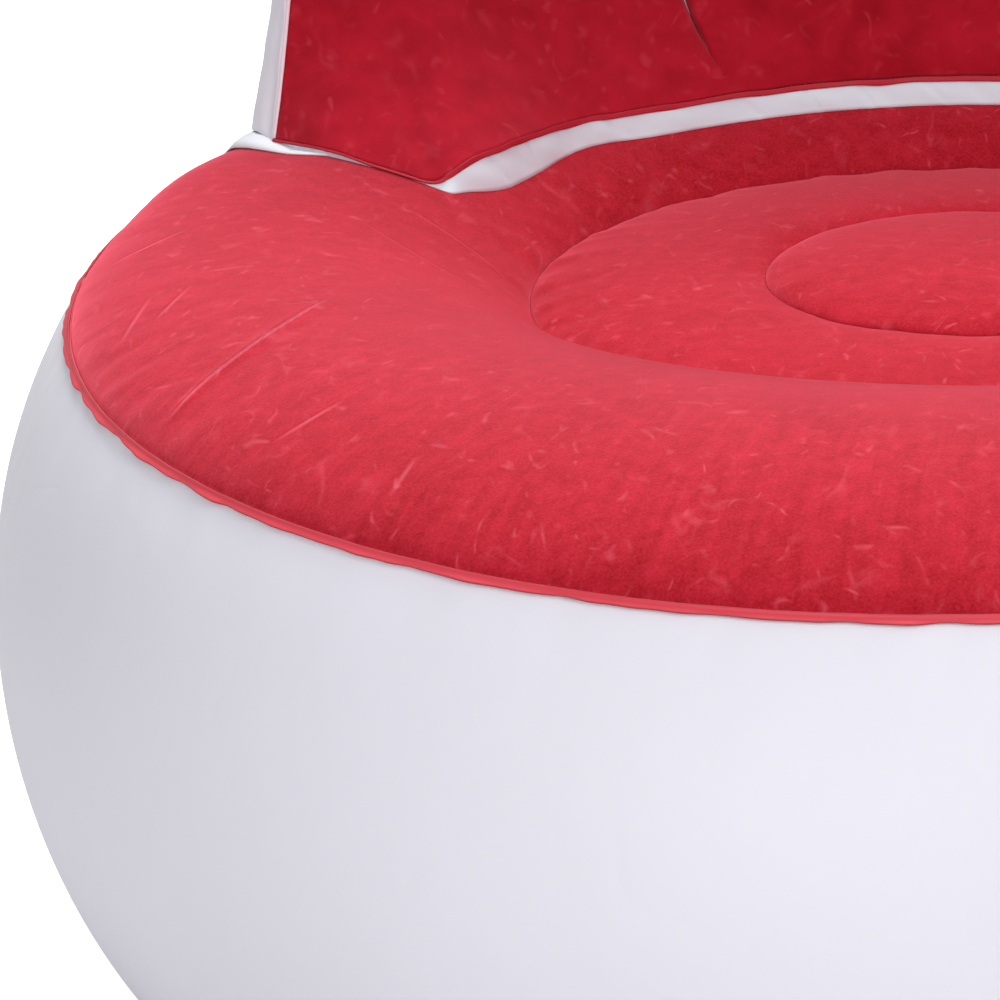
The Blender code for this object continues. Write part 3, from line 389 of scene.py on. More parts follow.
def ring_plan(bearing, share):
    """Bearing and radius on the seat ring at a share from the backrest's foot to the rim.

    Near the wing ends, a bell curve of the bearing turns the line forwards, and more so
    with the share to a power.
    """
    side = np.abs(bearing)
    weight = np.exp(-(((side - WING_BEARING) / WING_SPREAD) ** 2))
    turned = bearing - np.sign(bearing) * weight * (NOSE_TURN + WING_SLANT * share**WING_BEND)
    nose = np.exp(-(((side - WING_BEARING) / NOSE_SPREAD) ** 2))
    swing = np.exp(-(((side - FOOT_SWING_BEARING) / FOOT_SWING_SPREAD) ** 2))
    inner = FOOT_RADIUS + NOSE_SETBACK * nose + FOOT_SWING * swing
    return turned, inner + (rim_reach(turned) - inner) * share


def on_ring(bearing, share, lift):
    """Points that lie a little above the seat ring, by bearing and share."""
    turned, radius = ring_plan(bearing, share)
    height = seat_lift(turned, radius) + lift
    return polar(turned, radius + side_bulge(turned, radius), height)


def pucker(along, away, reach, height, seed):
    """Gathers beside a weld, fading with an exponential of the distance away.

    Along the weld they are three sine waves, each with a slower sine in its phase, whose
    lengths all divide PUCKER_ROUND.
    """
    waves = 0
    for parts, turn in ((9, 1.3), (14, 2.9), (23, 4.1)):
        drift = 1.3 * np.sin(math.tau * along * (parts // 4) / PUCKER_ROUND + seed * turn)
        wave = np.sin(math.tau * along * parts / PUCKER_ROUND + seed + turn + drift)
        waves = waves + wave * 8 / parts
    return height * waves * np.exp(-away / reach)


def edge_wave(along, seed):
    """The gathers' waves alone, for a cut edge."""
    return pucker(along, 0.0, 1.0, 1.0, seed)


def round_way(bearing, radius):
    """Distance round a circle, drawn out a little so that whole waves of pucker go round it."""
    rounds = max(1, round(math.tau * radius / PUCKER_ROUND))
    return bearing * rounds * PUCKER_ROUND / math.tau


def path_length(path):
    """Distance along a path of points from its start."""
    steps = np.linalg.norm(np.diff(path, axis=0), axis=1)
    return np.concatenate([[0], np.cumsum(steps)])


def along_path(path, length, at):
    """Points of a path, whose distances are given, at other distances."""
    return np.stack([np.interp(at, length, path[:, axis]) for axis in range(3)], -1)


def unit(vectors):
    return vectors / np.linalg.norm(vectors, axis=-1, keepdims=True)


def grid_normals(points):
    """Unit cross products of a grid's two gradients."""
    return unit(np.cross(np.gradient(points, axis=0), np.gradient(points, axis=1)))


def smooth_step(value):
    """Three times the square less twice the cube, between 0 and 1."""
    value = np.clip(value, 0, 1)
    return value * value * (3 - 2 * value)


# Meshes


def add_mesh(name, points, faces, finishes):
    mesh = bpy.data.meshes.new(name)
    mesh.from_pydata(points.tolist(), [], [face for part in faces for face in part.tolist()])
    mesh.shade_smooth()
    for finish in finishes:
        mesh.materials.append(finish)
    piece = bpy.data.objects.new(name, mesh)
    bpy.context.scene.collection.objects.link(piece)
    return piece


def grid_quads(rows, columns, around=False, closed=False):
    """Quads between the points of a grid. around joins its last column to the first."""
    index = np.arange(rows * columns).reshape(rows, columns)
    if around:
        index = np.concatenate([index, index[:, :1]], axis=1)
    if closed:
        index = np.concatenate([index, index[:1]], axis=0)
    quads = np.stack([index[:-1, :-1], index[:-1, 1:], index[1:, 1:], index[1:, :-1]], -1)
    return quads.reshape(-1, 4)


def split_fans(quads):
    """The whole quads, and triangles for those with a corner twice."""
    doubled = quads == np.roll(quads, -1, axis=1)
    whole = ~doubled.any(axis=1)
    return quads[whole], quads[~whole][~doubled[~whole]].reshape(-1, 3)


def add_sheet(name, points, inside, finishes, around=False, tip=False, hole=None):
    """A sheet over a grid of points, rows by columns, with its outer face away from inside.

    around joins the last column to the first, and tip makes the first row one point. A
    hole is (place, axis, radius): quads within it go, and their neighbours' corners move
    out to its edge. The second finish, if there is one, is that of the cut edge.
    """
    columns = points.shape[1]
    quads = grid_quads(len(points), columns, around)
    flat = points.reshape(-1, 3).copy()
    if hole:
        place, axis, radius = hole
        offset = flat - place
        depth = (offset @ axis)[:, None] * axis
        spread = np.linalg.norm(offset - depth, axis=1)
        within = (spread < radius) & (np.linalg.norm(depth, axis=1) < radius)
        quads = quads[~within[quads].all(axis=1)]
        scale = (radius / np.maximum(spread[within], FIT_GAP))[:, None]
        flat[within] = place + depth[within] + (offset - depth)[within] * scale
    corners = flat[quads]
    facing = np.cross(corners[:, 2] - corners[:, 0], corners[:, 3] - corners[:, 1])
    if np.sum(facing * (corners.mean(axis=1) - inside)) < 0:
        quads = quads[:, ::-1]
    if tip:
        quads = np.where(quads < columns, 0, quads)
    used, quads = np.unique(quads, return_inverse=True)
    piece = add_mesh(name, flat[used], split_fans(quads.reshape(-1, 4)), finishes)
    skin = piece.modifiers.new("thickness", "SOLIDIFY")
    skin.thickness = SKIN
    skin.offset = -1
    skin.material_offset_rim = len(finishes) - 1
    return piece


def dress(piece, body, slot, *nodes):
    """Rides a piece on its body and hides the nodes that it stands for. The slot is not used."""
    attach(piece, body)
    if nodes:
        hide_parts(*nodes)
    return piece


# Finishes


def new_group(name, inputs, outputs):
    """An empty node group with named sockets: (name, socket type, default) for each input."""
    group = bpy.data.node_groups.new(name, "ShaderNodeTree")
    for label, kind, default in inputs:
        socket = group.interface.new_socket(label, in_out="INPUT", socket_type=kind)
        if default is not None:
            socket.default_value = default
    for label, kind in outputs:
        group.interface.new_socket(label, in_out="OUTPUT", socket_type=kind)
    return group, group.nodes.new("NodeGroupInput"), group.nodes.new("NodeGroupOutput")


def link(tree, source, target):
    tree.links.new(source, target)


def math_node(tree, operation, first, second=None, third=None):
    """A Math node on sockets or numbers. Returns its output."""
    node = tree.nodes.new("ShaderNodeMath")
    node.operation = operation
    for index, value in enumerate((first, second, third)):
        if value is None:
            continue
        if isinstance(value, (int, float)):
            node.inputs[index].default_value = value
        else:
            link(tree, value, node.inputs[index])
    return node.outputs[0]


def clamped(tree, value):
    """A value held between 0 and 1."""
    return math_node(tree, "MINIMUM", math_node(tree, "MAXIMUM", value, 0.0), 1.0)


def parts_of(tree, vector):
    """The X, Y and Z outputs of a vector."""
    split = tree.nodes.new("ShaderNodeSeparateXYZ")
    link(tree, vector, split.inputs[0])
    return split.outputs


def noise(tree, vector, scale, detail=2.0, distortion=0.0):
    """The value of a Noise Texture on a vector."""
    node = tree.nodes.new("ShaderNodeTexNoise")
    node.inputs["Detail"].default_value = detail
    node.inputs["Distortion"].default_value = distortion
    if isinstance(scale, (int, float)):
        node.inputs["Scale"].default_value = scale
    else:
        link(tree, scale, node.inputs["Scale"])
    link(tree, vector, node.inputs["Vector"])
    return node.outputs["Fac"]


def stretched(tree, vector, turn, stretch):
    """The vector turned, then drawn out along one axis, so that what it drives runs in strokes."""
    node = tree.nodes.new("ShaderNodeMapping")
    node.inputs["Rotation"].default_value = turn
    node.inputs["Scale"].default_value = stretch
    link(tree, vector, node.inputs["Vector"])
    return node.outputs["Vector"]


def strokes(tree, vector, turn, stretch, scale, width, gate_scale):
    """Thin strokes where a stretched noise passes its middle, cut to lengths by a second one."""
    course = stretched(tree, vector, turn, stretch)
    swept = noise(tree, course, scale, 1.0, 0.5)
    apart = math_node(tree, "ABSOLUTE", math_node(tree, "SUBTRACT", swept, 0.5))
    thin = math_node(tree, "SUBTRACT", 1.0, math_node(tree, "DIVIDE", apart, width))
    thin = math_node(tree, "MAXIMUM", thin, 0.0)
    gate = noise(tree, stretched(tree, vector, turn, (1.0, 1.0, 1.0)), gate_scale, 1.0)
    gate = math_node(tree, "MULTIPLY", math_node(tree, "SUBTRACT", gate, 0.57), 6.0)
    return math_node(tree, "MULTIPLY", thin, clamped(tree, gate))


def brushed_pile_group():
    """Flocking that hands have brushed.

    Tone is cloudy patches, mottling, streaks that run out from the centre and a fine
    grain. Marks are short curved strokes, and Height is grain and marks together.
    """
    group, entry, exit_ = new_group(
        "brushed pile",
        (
            ("Vector", "NodeSocketVector", None),
            ("Cloud Size", "NodeSocketFloat", 16.0),
            ("Mottle Size", "NodeSocketFloat", 120.0),
            ("Stroke Size", "NodeSocketFloat", 48.0),
            ("Grain Size", "NodeSocketFloat", 760.0),
            ("Cloud Amount", "NodeSocketFloat", 0.5),
            ("Mottle Amount", "NodeSocketFloat", 0.5),
            ("Streak Amount", "NodeSocketFloat", 0.0),
            ("Grain Amount", "NodeSocketFloat", 0.5),
        ),
        (
            ("Tone", "NodeSocketFloat"),
            ("Marks", "NodeSocketFloat"),
            ("Height", "NodeSocketFloat"),
        ),
    )
    vector = entry.outputs["Vector"]
    tone = 0.5
    for label, detail in (("Cloud", 4.0), ("Mottle", 3.0)):
        patches = noise(group, vector, entry.outputs[label + " Size"], detail, 0.4)
        patches = math_node(group, "SUBTRACT", patches, 0.5)
        amount = entry.outputs[label + " Amount"]
        tone = math_node(group, "MULTIPLY_ADD", patches, amount, tone)
    split = parts_of(group, vector)
    square = math_node(group, "MULTIPLY", split["X"], split["X"])
    square = math_node(group, "MULTIPLY_ADD", split["Y"], split["Y"], square)
    reach = math_node(group, "SQRT", math_node(group, "MAXIMUM", square, 0.0001))
    ray = group.nodes.new("ShaderNodeCombineXYZ")
    for axis in "XY":
        link(group, math_node(group, "DIVIDE", split[axis], reach), ray.inputs[axis])
    link(group, math_node(group, "MULTIPLY", reach, 0.22), ray.inputs["Z"])
    streak = noise(group, ray.outputs[0], 85.0, 3.0, 0.3)
    streak = math_node(group, "SUBTRACT", streak, 0.5)
    outer = math_node(group, "MULTIPLY", math_node(group, "SUBTRACT", reach, 0.25), 8.0)
    streak = math_node(group, "MULTIPLY", streak, clamped(group, outer))
    tone = math_node(group, "MULTIPLY_ADD", streak, entry.outputs["Streak Amount"], tone)
    grain = noise(group, vector, entry.outputs["Grain Size"], 1.0)
    grain = math_node(group, "SUBTRACT", grain, 0.5)
    tone = math_node(group, "MULTIPLY_ADD", grain, entry.outputs["Grain Amount"], tone)
    link(group, tone, exit_.inputs["Tone"])
    size = entry.outputs["Stroke Size"]
    marks = 0.0
    for turn, stretch, width, gate_size, weight in (
        ((0.3, 0.2, 0.7), (1.0, 0.5, 0.8), 0.030, 90.0, 0.8),
        ((0.9, 0.5, 2.1), (1.0, 0.4, 0.8), 0.045, 60.0, 0.5),
        ((0.1, 1.2, 1.3), (0.8, 0.5, 1.0), 0.026, 120.0, 1.0),
        ((1.4, 0.3, 0.2), (1.3, 0.6, 1.3), 0.060, 75.0, 0.4),
    ):
        mark = strokes(group, vector, turn, stretch, size, width, gate_size)
        marks = math_node(group, "MAXIMUM", math_node(group, "MULTIPLY", mark, weight), marks)
    link(group, marks, exit_.inputs["Marks"])
    height = math_node(group, "MULTIPLY_ADD", marks, 0.6, grain)
    link(group, height, exit_.inputs["Height"])
    return group


def fold_line(start, middle, end):
    """A fold's centre, unit direction, half length and bend, from three of its points."""
    centre = (np.array(start) + np.array(end)) / 2
    chord = (np.array(end) - np.array(start)) / 2
    half = float(np.linalg.norm(chord))
    way = chord / half
    return centre, way, half, float((np.array(middle) - centre) @ np.array([-way[1], way[0]]))


def folds_group(name, folds, upright=False):
    """Long shallow folds: a ridge with a furrow beside it.

    Both are bell curves of the distance from a parabola.
    Each parabola goes through three points, on X and Y, or on X and Z for an upright
    sheet, and fades towards its ends. Height is in metres, and Paleness is worn flock.
    """
    group, entry, exit_ = new_group(
        name,
        (("Vector", "NodeSocketVector", None),),
        (("Height", "NodeSocketFloat"), ("Paleness", "NodeSocketFloat")),
    )
    vector = entry.outputs["Vector"]
    if upright:
        split = parts_of(group, vector)
        swung = group.nodes.new("ShaderNodeCombineXYZ")
        link(group, split["X"], swung.inputs["X"])
        link(group, split["Z"], swung.inputs["Y"])
        vector = swung.outputs[0]
    height, paleness = 0.0, 0.0
    for *line, width, rise, worn in folds:
        centre, way, half, bend = fold_line(*line)
        local = group.nodes.new("ShaderNodeMapping")
        local.vector_type = "TEXTURE"
        local.inputs["Location"].default_value = (*centre, 0)
        local.inputs["Rotation"].default_value = (0, 0, math.atan2(way[1], way[0]))
        link(group, vector, local.inputs["Vector"])
        split = parts_of(group, local.outputs["Vector"])
        along = math_node(group, "DIVIDE", split["X"], half)
        reach = math_node(group, "MULTIPLY", along, along)
        reach = math_node(group, "MAXIMUM", math_node(group, "SUBTRACT", 1.0, reach), 0.0)
        side = math_node(group, "MULTIPLY_ADD", reach, -bend, split["Y"])
        side = math_node(group, "DIVIDE", side, width)
        bells = []
        for step in (0.0, 1.8):
            apart = math_node(group, "SUBTRACT", side, step)
            apart = math_node(group, "MULTIPLY", math_node(group, "MULTIPLY", apart, apart), -1.0)
            bell = math_node(group, "EXPONENT", apart)
            bells.append(math_node(group, "MULTIPLY", bell, reach))
        fold = math_node(group, "MULTIPLY_ADD", bells[1], -0.6, bells[0])
        height = math_node(group, "MULTIPLY_ADD", fold, rise, height)
        paleness = math_node(group, "MULTIPLY_ADD", bells[0], worn, paleness)
    link(group, height, exit_.inputs["Height"])
    link(group, paleness, exit_.inputs["Paleness"])
    return group


def sheet_waves_group():
    """Air-filled sheet: long soft waves, a few shallow creases and slight yellow-blue drift."""
    group, entry, exit_ = new_group(
        "sheet waves",
        (
            ("Vector", "NodeSocketVector", None),
            ("Wave Size", "NodeSocketFloat", 9.0),
            ("Crease Size", "NodeSocketFloat", 16.0),
            ("Crease Amount", "NodeSocketFloat", 0.2),
        ),
        (("Tone", "NodeSocketFloat"), ("Height", "NodeSocketFloat")),
    )
    vector = entry.outputs["Vector"]
    wave = noise(group, vector, entry.outputs["Wave Size"], 2.0)
    crease = noise(group, vector, entry.outputs["Crease Size"], 1.0, 1.0)
    crease = math_node(group, "ABSOLUTE", math_node(group, "SUBTRACT", crease, 0.5))
    crease = math_node(group, "MINIMUM", math_node(group, "MULTIPLY", crease, 8.0), 1.0)
    height = math_node(group, "MULTIPLY_ADD", crease, entry.outputs["Crease Amount"], wave)
    link(group, wave, exit_.inputs["Tone"])
    link(group, height, exit_.inputs["Height"])
    return group


def new_material(name):
    material = bpy.data.materials.new(name)
    material.use_nodes = True
    tree = material.node_tree
    return material, tree, tree.nodes["Principled BSDF"]


def place_group(tree, group, **values):
    """A group in a material, on Object coordinates, with its own values by input name."""
    node = tree.nodes.new("ShaderNodeGroup")
    node.node_tree = group
    coordinates = tree.nodes.new("ShaderNodeTexCoord")
    link(tree, coordinates.outputs["Object"], node.inputs["Vector"])
    for label, value in values.items():
        node.inputs[label.replace("_", " ")].default_value = value
    return node


def mix_colours(tree, factor, low, high):
    """A colour between two others by a factor. Either colour may be a socket."""
    node = tree.nodes.new("ShaderNodeMix")
    node.data_type = "RGBA"
    link(tree, factor, node.inputs["Factor"])
    for socket, colour in ((node.inputs[6], low), (node.inputs[7], high)):
        if isinstance(colour, tuple):
            socket.default_value = (*colour, 1)
        else:
            link(tree, colour, socket)
    return node.outputs[2]


def bump(tree, height, strength, distance, shader):
    node = tree.nodes.new("ShaderNodeBump")
    node.inputs["Strength"].default_value = strength
    node.inputs["Distance"].default_value = distance
    link(tree, height, node.inputs["Height"])
    link(tree, node.outputs["Normal"], shader.inputs["Normal"])


def flock_material(name, group, folds, low, high, mark, **values):
    """Red flocking: two reds mixed by the pile's tone, paler at marks and folds, with a sheen."""
    material, tree, shader = new_material(name)
    pile = place_group(tree, group, **values)
    crease = place_group(tree, folds)
    colour = mix_colours(tree, pile.outputs["Tone"], low, high)
    share = math_node(tree, "MULTIPLY", pile.outputs["Marks"], FLOCK_MARK_SHARE)
    share = math_node(tree, "ADD", share, crease.outputs["Paleness"])
    link(tree, mix_colours(tree, share, colour, mark), shader.inputs["Base Color"])
    shader.inputs["Roughness"].default_value = 0.95
    shader.inputs["Specular IOR Level"].default_value = 0.15
    shader.inputs["Sheen Weight"].default_value = 1.0
    shader.inputs["Sheen Roughness"].default_value = 0.4
    shader.inputs["Sheen Tint"].default_value = SHEEN_TINT
    fold = crease.outputs["Height"]
    height = math_node(tree, "MULTIPLY_ADD", pile.outputs["Height"], PILE_DEPTH, fold)
    bump(tree, height, 1.0, 1.0, shader)
    return material


def vinyl_material(name, group, low, high, roughness, distance, **values):
    """Smooth vinyl: two near colours mixed by long waves, which are also a shallow bump."""
    material, tree, shader = new_material(name)
    waves = place_group(tree, group, **values)
    link(tree, mix_colours(tree, waves.outputs["Tone"], low, high), shader.inputs["Base Color"])
    shader.inputs["Roughness"].default_value = roughness
    shader.inputs["Specular IOR Level"].default_value = 0.4
    bump(tree, waves.outputs["Height"], 0.6, distance, shader)
    return material


def make_finishes():
    """Every finish of the chair, by name."""
    pile = brushed_pile_group()
    waves = sheet_waves_group()
    finishes = {
        "flock": flock_material(
            "brushed red flocking",
            pile,
            folds_group("folds in the seat sheet", SEAT_FOLDS),
            *SEAT_REDS,
            Cloud_Amount=0.45,
            Mottle_Amount=0.72,
            Streak_Amount=0.55,
            Grain_Size=900.0,
            Grain_Amount=0.85,
        ),
        # The backrest's flocking has darker reds than the seat's, as painted shade.
        "back flock": flock_material(
            "brushed red flocking of the backrest in painted shade",
            pile,
            folds_group("folds in the backrest sheet", BACK_FOLDS, upright=True),
            *SHADED_BACK_REDS,
            Cloud_Amount=0.7,
            Mottle_Size=70.0,
            Mottle_Amount=0.62,
            Stroke_Size=36.0,
            Grain_Amount=0.0,
        ),
    }
    for key, name, low, high, roughness, distance, sizes in VINYLS:
        values = dict(zip(("Wave_Size", "Crease_Size", "Crease_Amount"), sizes))
        finishes[key] = vinyl_material(name, waves, low, high, roughness, distance, **values)
    return finishes


# Base


def eased(count, first=0):
    """Shares from 0 to 1 that crowd at both ends: half of one less the cosine."""
    return (1 - np.cos(np.linspace(0, math.pi, count + 1)[first:])) / 2


def clear_of_back(bearing):
    """1 in front of the backrest's wings, falling smoothly to 0 under its foot."""
    return smooth_step((np.abs(bearing) - WING_BEARING) / WING_SLANT)


def crease_lift(plan):
    """The long crease at the ring's left: a bell curve of the distance from its parabola."""
    *line, width, _, _ = SEAT_FOLDS[0]
    centre, way, half, bend = fold_line(*line)
    offset = plan - centre
    reach = np.clip(1 - (offset @ way / half) ** 2, 0, None)
    side = offset @ np.array([-way[1], way[0]]) - reach * bend
    return CREASE_HEIGHT * reach**0.5 * np.exp(-((side / (CREASE_BREADTH * width)) ** 2))


def seat_bearings(count):
    """Bearings of the seat's columns, crowded by a bell curve at the long crease."""
    even = np.linspace(-math.pi, math.pi, 4001)
    density = 1 + CREASE_CROWDING * np.exp(-(((even - CREASE_BEARING) / CREASE_SPREAD) ** 2))
    total = np.concatenate([[0], np.cumsum(density[1:] + density[:-1])])
    return np.interp(np.linspace(0, total[-1], count, endpoint=False), total, even)


def make_seat(finishes):
    """The red upper sheet: radius out from the disc's centre, by bearing.

    The height is seat_lift plus the long crease and the gathers at the welds.
    """
    bearing = seat_bearings(440)[None, :]
    disc = INNER_WELD_RADIUS * np.sin(np.linspace(0, math.pi / 2, 20))
    middle = INNER_WELD_RADIUS + (OUTER_WELD_RADIUS - INNER_WELD_RADIUS) * eased(26, 1)
    inner = np.concatenate([disc, middle])[:, None] * np.ones_like(bearing)
    span = rim_reach(bearing) - OUTER_WELD_RADIUS
    ring = OUTER_WELD_RADIUS + span * eased(60, 1)[:, None]
    radius = np.concatenate([inner, ring])
    bearing = np.broadcast_to(bearing, radius.shape)
    height = seat_lift(bearing, radius)
    along = round_way(bearing, OUTER_WELD_RADIUS) + radius / 3
    away = np.abs(radius - OUTER_WELD_RADIUS)
    height = height + pucker(along, away, *OUTER_WELD_GATHER) * smooth_step(away / 0.004)
    along = round_way(bearing, INNER_WELD_RADIUS)
    away = np.abs(radius - INNER_WELD_RADIUS)
    height = height + pucker(along, away, *INNER_WELD_GATHER) * smooth_step(away / 0.003)
    away = rim_reach(bearing) - radius
    along = round_way(bearing, RIM_HALF_DEPTH) + away / 2
    gather = pucker(along, away, *RIM_GATHER) * smooth_step(away / 0.006)
    height = height + gather * clear_of_back(bearing)
    height = height + crease_lift(directions(bearing) * radius[..., None])
    points = polar(bearing, radius + side_bulge(bearing, radius), height)
    points[-1, :, 2] += SKIN
    # The cut edge at the rim takes the pale pink of the painted highlight.
    keys = ("flock", "flock edge highlight")
    piece = add_sheet(
        "seat_flocked_sheet", points, (0, 0, 0), [finishes[key] for key in keys], True, True
    )
    return dress(piece, "chair", "red_flock", "seat_top_panel")


def make_rim_margin(finishes):
    """The trimmed margin outside the rim weld: bearing round the rim, by distance down the wall.

    It has a small bead at the weld, stands off the wall by a share of its width, and its
    cut edge waves.
    """
    bearing = round_bearings(1200)
    across = np.linspace(0, 1, 8)[:, None]
    wave = edge_wave(round_way(bearing, RIM_HALF_DEPTH), 5.0)
    width = RIM_MARGIN_WIDTH * (1 + 0.14 * wave)
    step = math.hypot(WALL_ROUNDNESS * math.sin(RIM_ANGLE), UPPER_WALL_RISE * math.cos(RIM_ANGLE))
    angle = RIM_ANGLE - across * width / step
    free = clear_of_back(bearing)
    lift = SKIN + FIT_GAP + across**1.5 * (0.0006 + 0.00035 * (1 + wave)) * free
    lift = lift + RIM_BEAD * np.exp(-((across / 0.16) ** 2)) * free
    points = wall_points(bearing, angle, lift)
    points[..., 2] += FIT_GAP * (1 - across)
    # Its cut edge takes the darker red of painted shade.
    piece = add_sheet(
        "rim_margin", points, (0, 0, 0), [finishes["pressed"], finishes["edge"]], around=True
    )
    return dress(piece, "chair", "red_flock")


def press_flat(points, place, axis):
    """Moves a sheet onto a valve flange's plane within the pad radius, easing off outside."""
    offset = points - place
    depth = offset @ axis
    spread = np.linalg.norm(offset - depth[..., None] * axis, axis=-1)
    near = smooth_step(1 - (spread - PAD_RADIUS) / PAD_FADE) * (np.abs(depth) < PAD_RADIUS)
    return points - (near * depth)[..., None] * axis


def make_wall(finishes, valve):
    """The white side wall: the angle round its bulge, by bearing, from rim weld to bottom seam."""
    bearing = round_bearings(400)
    angle = np.linspace(RIM_ANGLE, -BOTTOM_SEAM_DIP, 84)[:, None]
    along = round_way(bearing, RIM_HALF_DEPTH)
    down = (RIM_ANGLE - angle) * UPPER_WALL_RISE
    up = (angle + BOTTOM_SEAM_DIP) * LOWER_WALL_DROP
    gather = pucker(along, down, *WALL_TOP_GATHER) * smooth_step(down / 0.010)
    gather = gather + pucker(along, up, *WALL_FOOT_GATHER) * smooth_step(up / 0.008)
    points = wall_points(bearing, angle, gather)
    points = press_flat(points, *valve)
    hole = (*valve, HOUSING_RADIUS + FIT_GAP)
    piece = add_sheet(
        "base_wall_sheet", points, (0, 0, WIDEST_HEIGHT), [finishes["white"]], True, hole=hole
    )
    return dress(piece, "chair", "white_vinyl", "base_side_wall")


def make_bottom(finishes):
    """The white underside: radius, by bearing.

    It is flat but for a rounded lift at each inner band, and then a quarter-oval goes up
    to its seam.
    """
    bearing = round_bearings(320)
    floor_reach = rim_reach(bearing, BOTTOM_SEAM_REACH - FLOOR_EDGE_INSET)
    radius = floor_reach * np.linspace(0, 1, 60)[:, None]
    height = np.zeros_like(radius)
    for weld in (INNER_WELD_RADIUS, OUTER_WELD_RADIUS):
        near = np.clip(np.abs(radius - weld) / GROOVE_HALF_WIDTH, 0, 1)
        height = height + UNDERSIDE_GROOVE * (1 - near) ** 2
    turn = np.linspace(0, BOTTOM_SEAM_DIP, 14)[1:, None]
    inset = FLOOR_EDGE_INSET * (1 - np.sin(turn) / math.sin(BOTTOM_SEAM_DIP))
    curve = rim_reach(bearing, BOTTOM_SEAM_REACH - inset)
    lift = BOTTOM_SEAM_HEIGHT * (1 - np.cos(turn)) / (1 - math.cos(BOTTOM_SEAM_DIP))
    radius = np.concatenate([radius, curve - FIT_GAP])
    height = np.concatenate([height, lift * np.ones_like(bearing)])
    height[-1] -= FIT_GAP
    points = polar(bearing, radius, height)
    piece = add_sheet(
        "base_underside_sheet", points, (0, 0, WIDEST_HEIGHT), [finishes["white"]], True, True
    )
    return dress(piece, "chair", "white_vinyl", "base_bottom_panel")


def make_bottom_margin(finishes):
    """The bottom seam's trimmed margin: bearing, by distance out and a little down."""
    bearing = round_bearings(900)
    across = np.linspace(0, 1, 6)[:, None]
    wave = edge_wave(round_way(bearing, RIM_HALF_DEPTH), 9.0)
    out = across * (BOTTOM_MARGIN_WIDTH + 0.0006 * wave)
    height = BOTTOM_SEAM_HEIGHT + FIT_GAP - across**2 * (0.0016 + 0.0008 * wave)
    points = polar(bearing, rim_reach(bearing, BOTTOM_SEAM_REACH + out), height)
    piece = add_sheet("bottom_margin", points, (0, 0, -RIM_HEIGHT), [finishes["white"]], True)
    return dress(piece, "chair", "white_vinyl")


# Backrest


def foot_course(across):
    """Bearing and ring share of the backrest's front foot.

    Within the wing share the bearing grows with across, and beyond it the share does,
    to a power.
    """
    side = np.abs(across)
    bearing = np.sign(across) * WING_BEARING * np.clip(side / WING_ACROSS, 0, 1)
    out = np.clip((side - WING_ACROSS) / (1 - WING_ACROSS), 0, 1)
    return bearing, WING_CORNER_SHARE * out**1.2


def foot_path(across, lift, smoothing=FOOT_SMOOTHING):
    """Points of the front foot, smoothed along the path with a bell curve."""
    fine = np.linspace(-1, 1, 3001)
    bearing, share = foot_course(fine)
    path = on_ring(bearing, share, lift)
    length = path_length(path)
    even = np.linspace(0, length[-1], round(length[-1] / smoothing * 8))
    steps = along_path(path, length, even)
    reach = np.arange(-24, 25) / 8
    bell = np.exp(-(reach**2) / 2)
    bell = bell / bell.sum()
    half = len(reach) // 2
    before = 2 * steps[0] - steps[half:0:-1]
    after = 2 * steps[-1] - steps[-2 : -half - 2 : -1]
    padded = np.concatenate([before, steps, after])
    soft = np.stack([np.convolve(padded[:, axis], bell, "valid") for axis in range(3)], -1)
    return along_path(soft, even, np.interp(across, fine, length))


def gusset_fade(across):
    """1 along the front foot, falling smoothly to 0 a little past the nose of each wing."""
    return smooth_step((WING_ACROSS + GUSSET_TAIL - np.abs(across)) / (2.2 * GUSSET_TAIL))


def gusset_rise(across, path):
    """Height of the white strip: a level rise and a bell near the wings, fading past the nose."""
    bearing = np.abs(np.arctan2(path[:, 0], path[:, 1]))
    hump = np.exp(-(((bearing - GUSSET_HUMP_BEARING) / GUSSET_HUMP_SPREAD) ** 2))
    wave = 1 + 0.02 * edge_wave(path_length(path), 4.0)
    return GUSSET_LEAST + (GUSSET_RISE + GUSSET_HUMP * hump) * gusset_fade(across) * wave


def gusset_seam(across):
    """The seam between the white strip and the red panel, set up and out from the foot.

    Between the nose and the wing's outer end it lies close on the seat, ahead of the foot
    sheet's edge. At the outer end it lies on the foot sheet.
    """
    path = foot_path(across, 2 * FIT_GAP, SEAM_SMOOTHING)
    rise = gusset_rise(across, path)
    lean = GUSSET_LEAN * 2 * rise / (rise + GUSSET_RISE)
    seam = path.copy()
    seam[:, :2] += unit(path[:, :2]) * lean[:, None]
    over = np.maximum(gusset_fade(across), smooth_step((foot_course(across)[1] - 0.26) / 0.2))
    seam[:, 2] += rise + (2 * SKIN + FIT_GAP) * over
    return seam


def back_across():
    """The panel columns, from -1 to 1: crowded at the ends by a sine, with more at the grooves."""
    even = np.sin(np.linspace(-1.2, 1.2, 250)) / math.sin(1.2)
    near = np.array([0.0012, 0.0028, 0.005, 0.009, 0.014])
    near = np.concatenate([-near[::-1], [0], near])
    grooves = np.array([-BEAM_ACROSS, 0, BEAM_ACROSS])[:, None] + near
    keep = even[np.abs(even[:, None] - grooves.reshape(-1)).min(axis=1) > 0.001]
    return np.sort(np.concatenate([keep, grooves.reshape(-1)]))


def spine_angle(across):
    """Angle along the spine: linear up to the side beams, then linear to a right angle."""
    side = np.abs(across)
    outer = BEAM_SPINE_ANGLE + (math.pi / 2 - BEAM_SPINE_ANGLE) * (side - BEAM_ACROSS) / (
        1 - BEAM_ACROSS
    )
    inner = BEAM_SPINE_ANGLE * side / BEAM_ACROSS
    return np.sign(across) * np.where(side < BEAM_ACROSS, inner, outer)


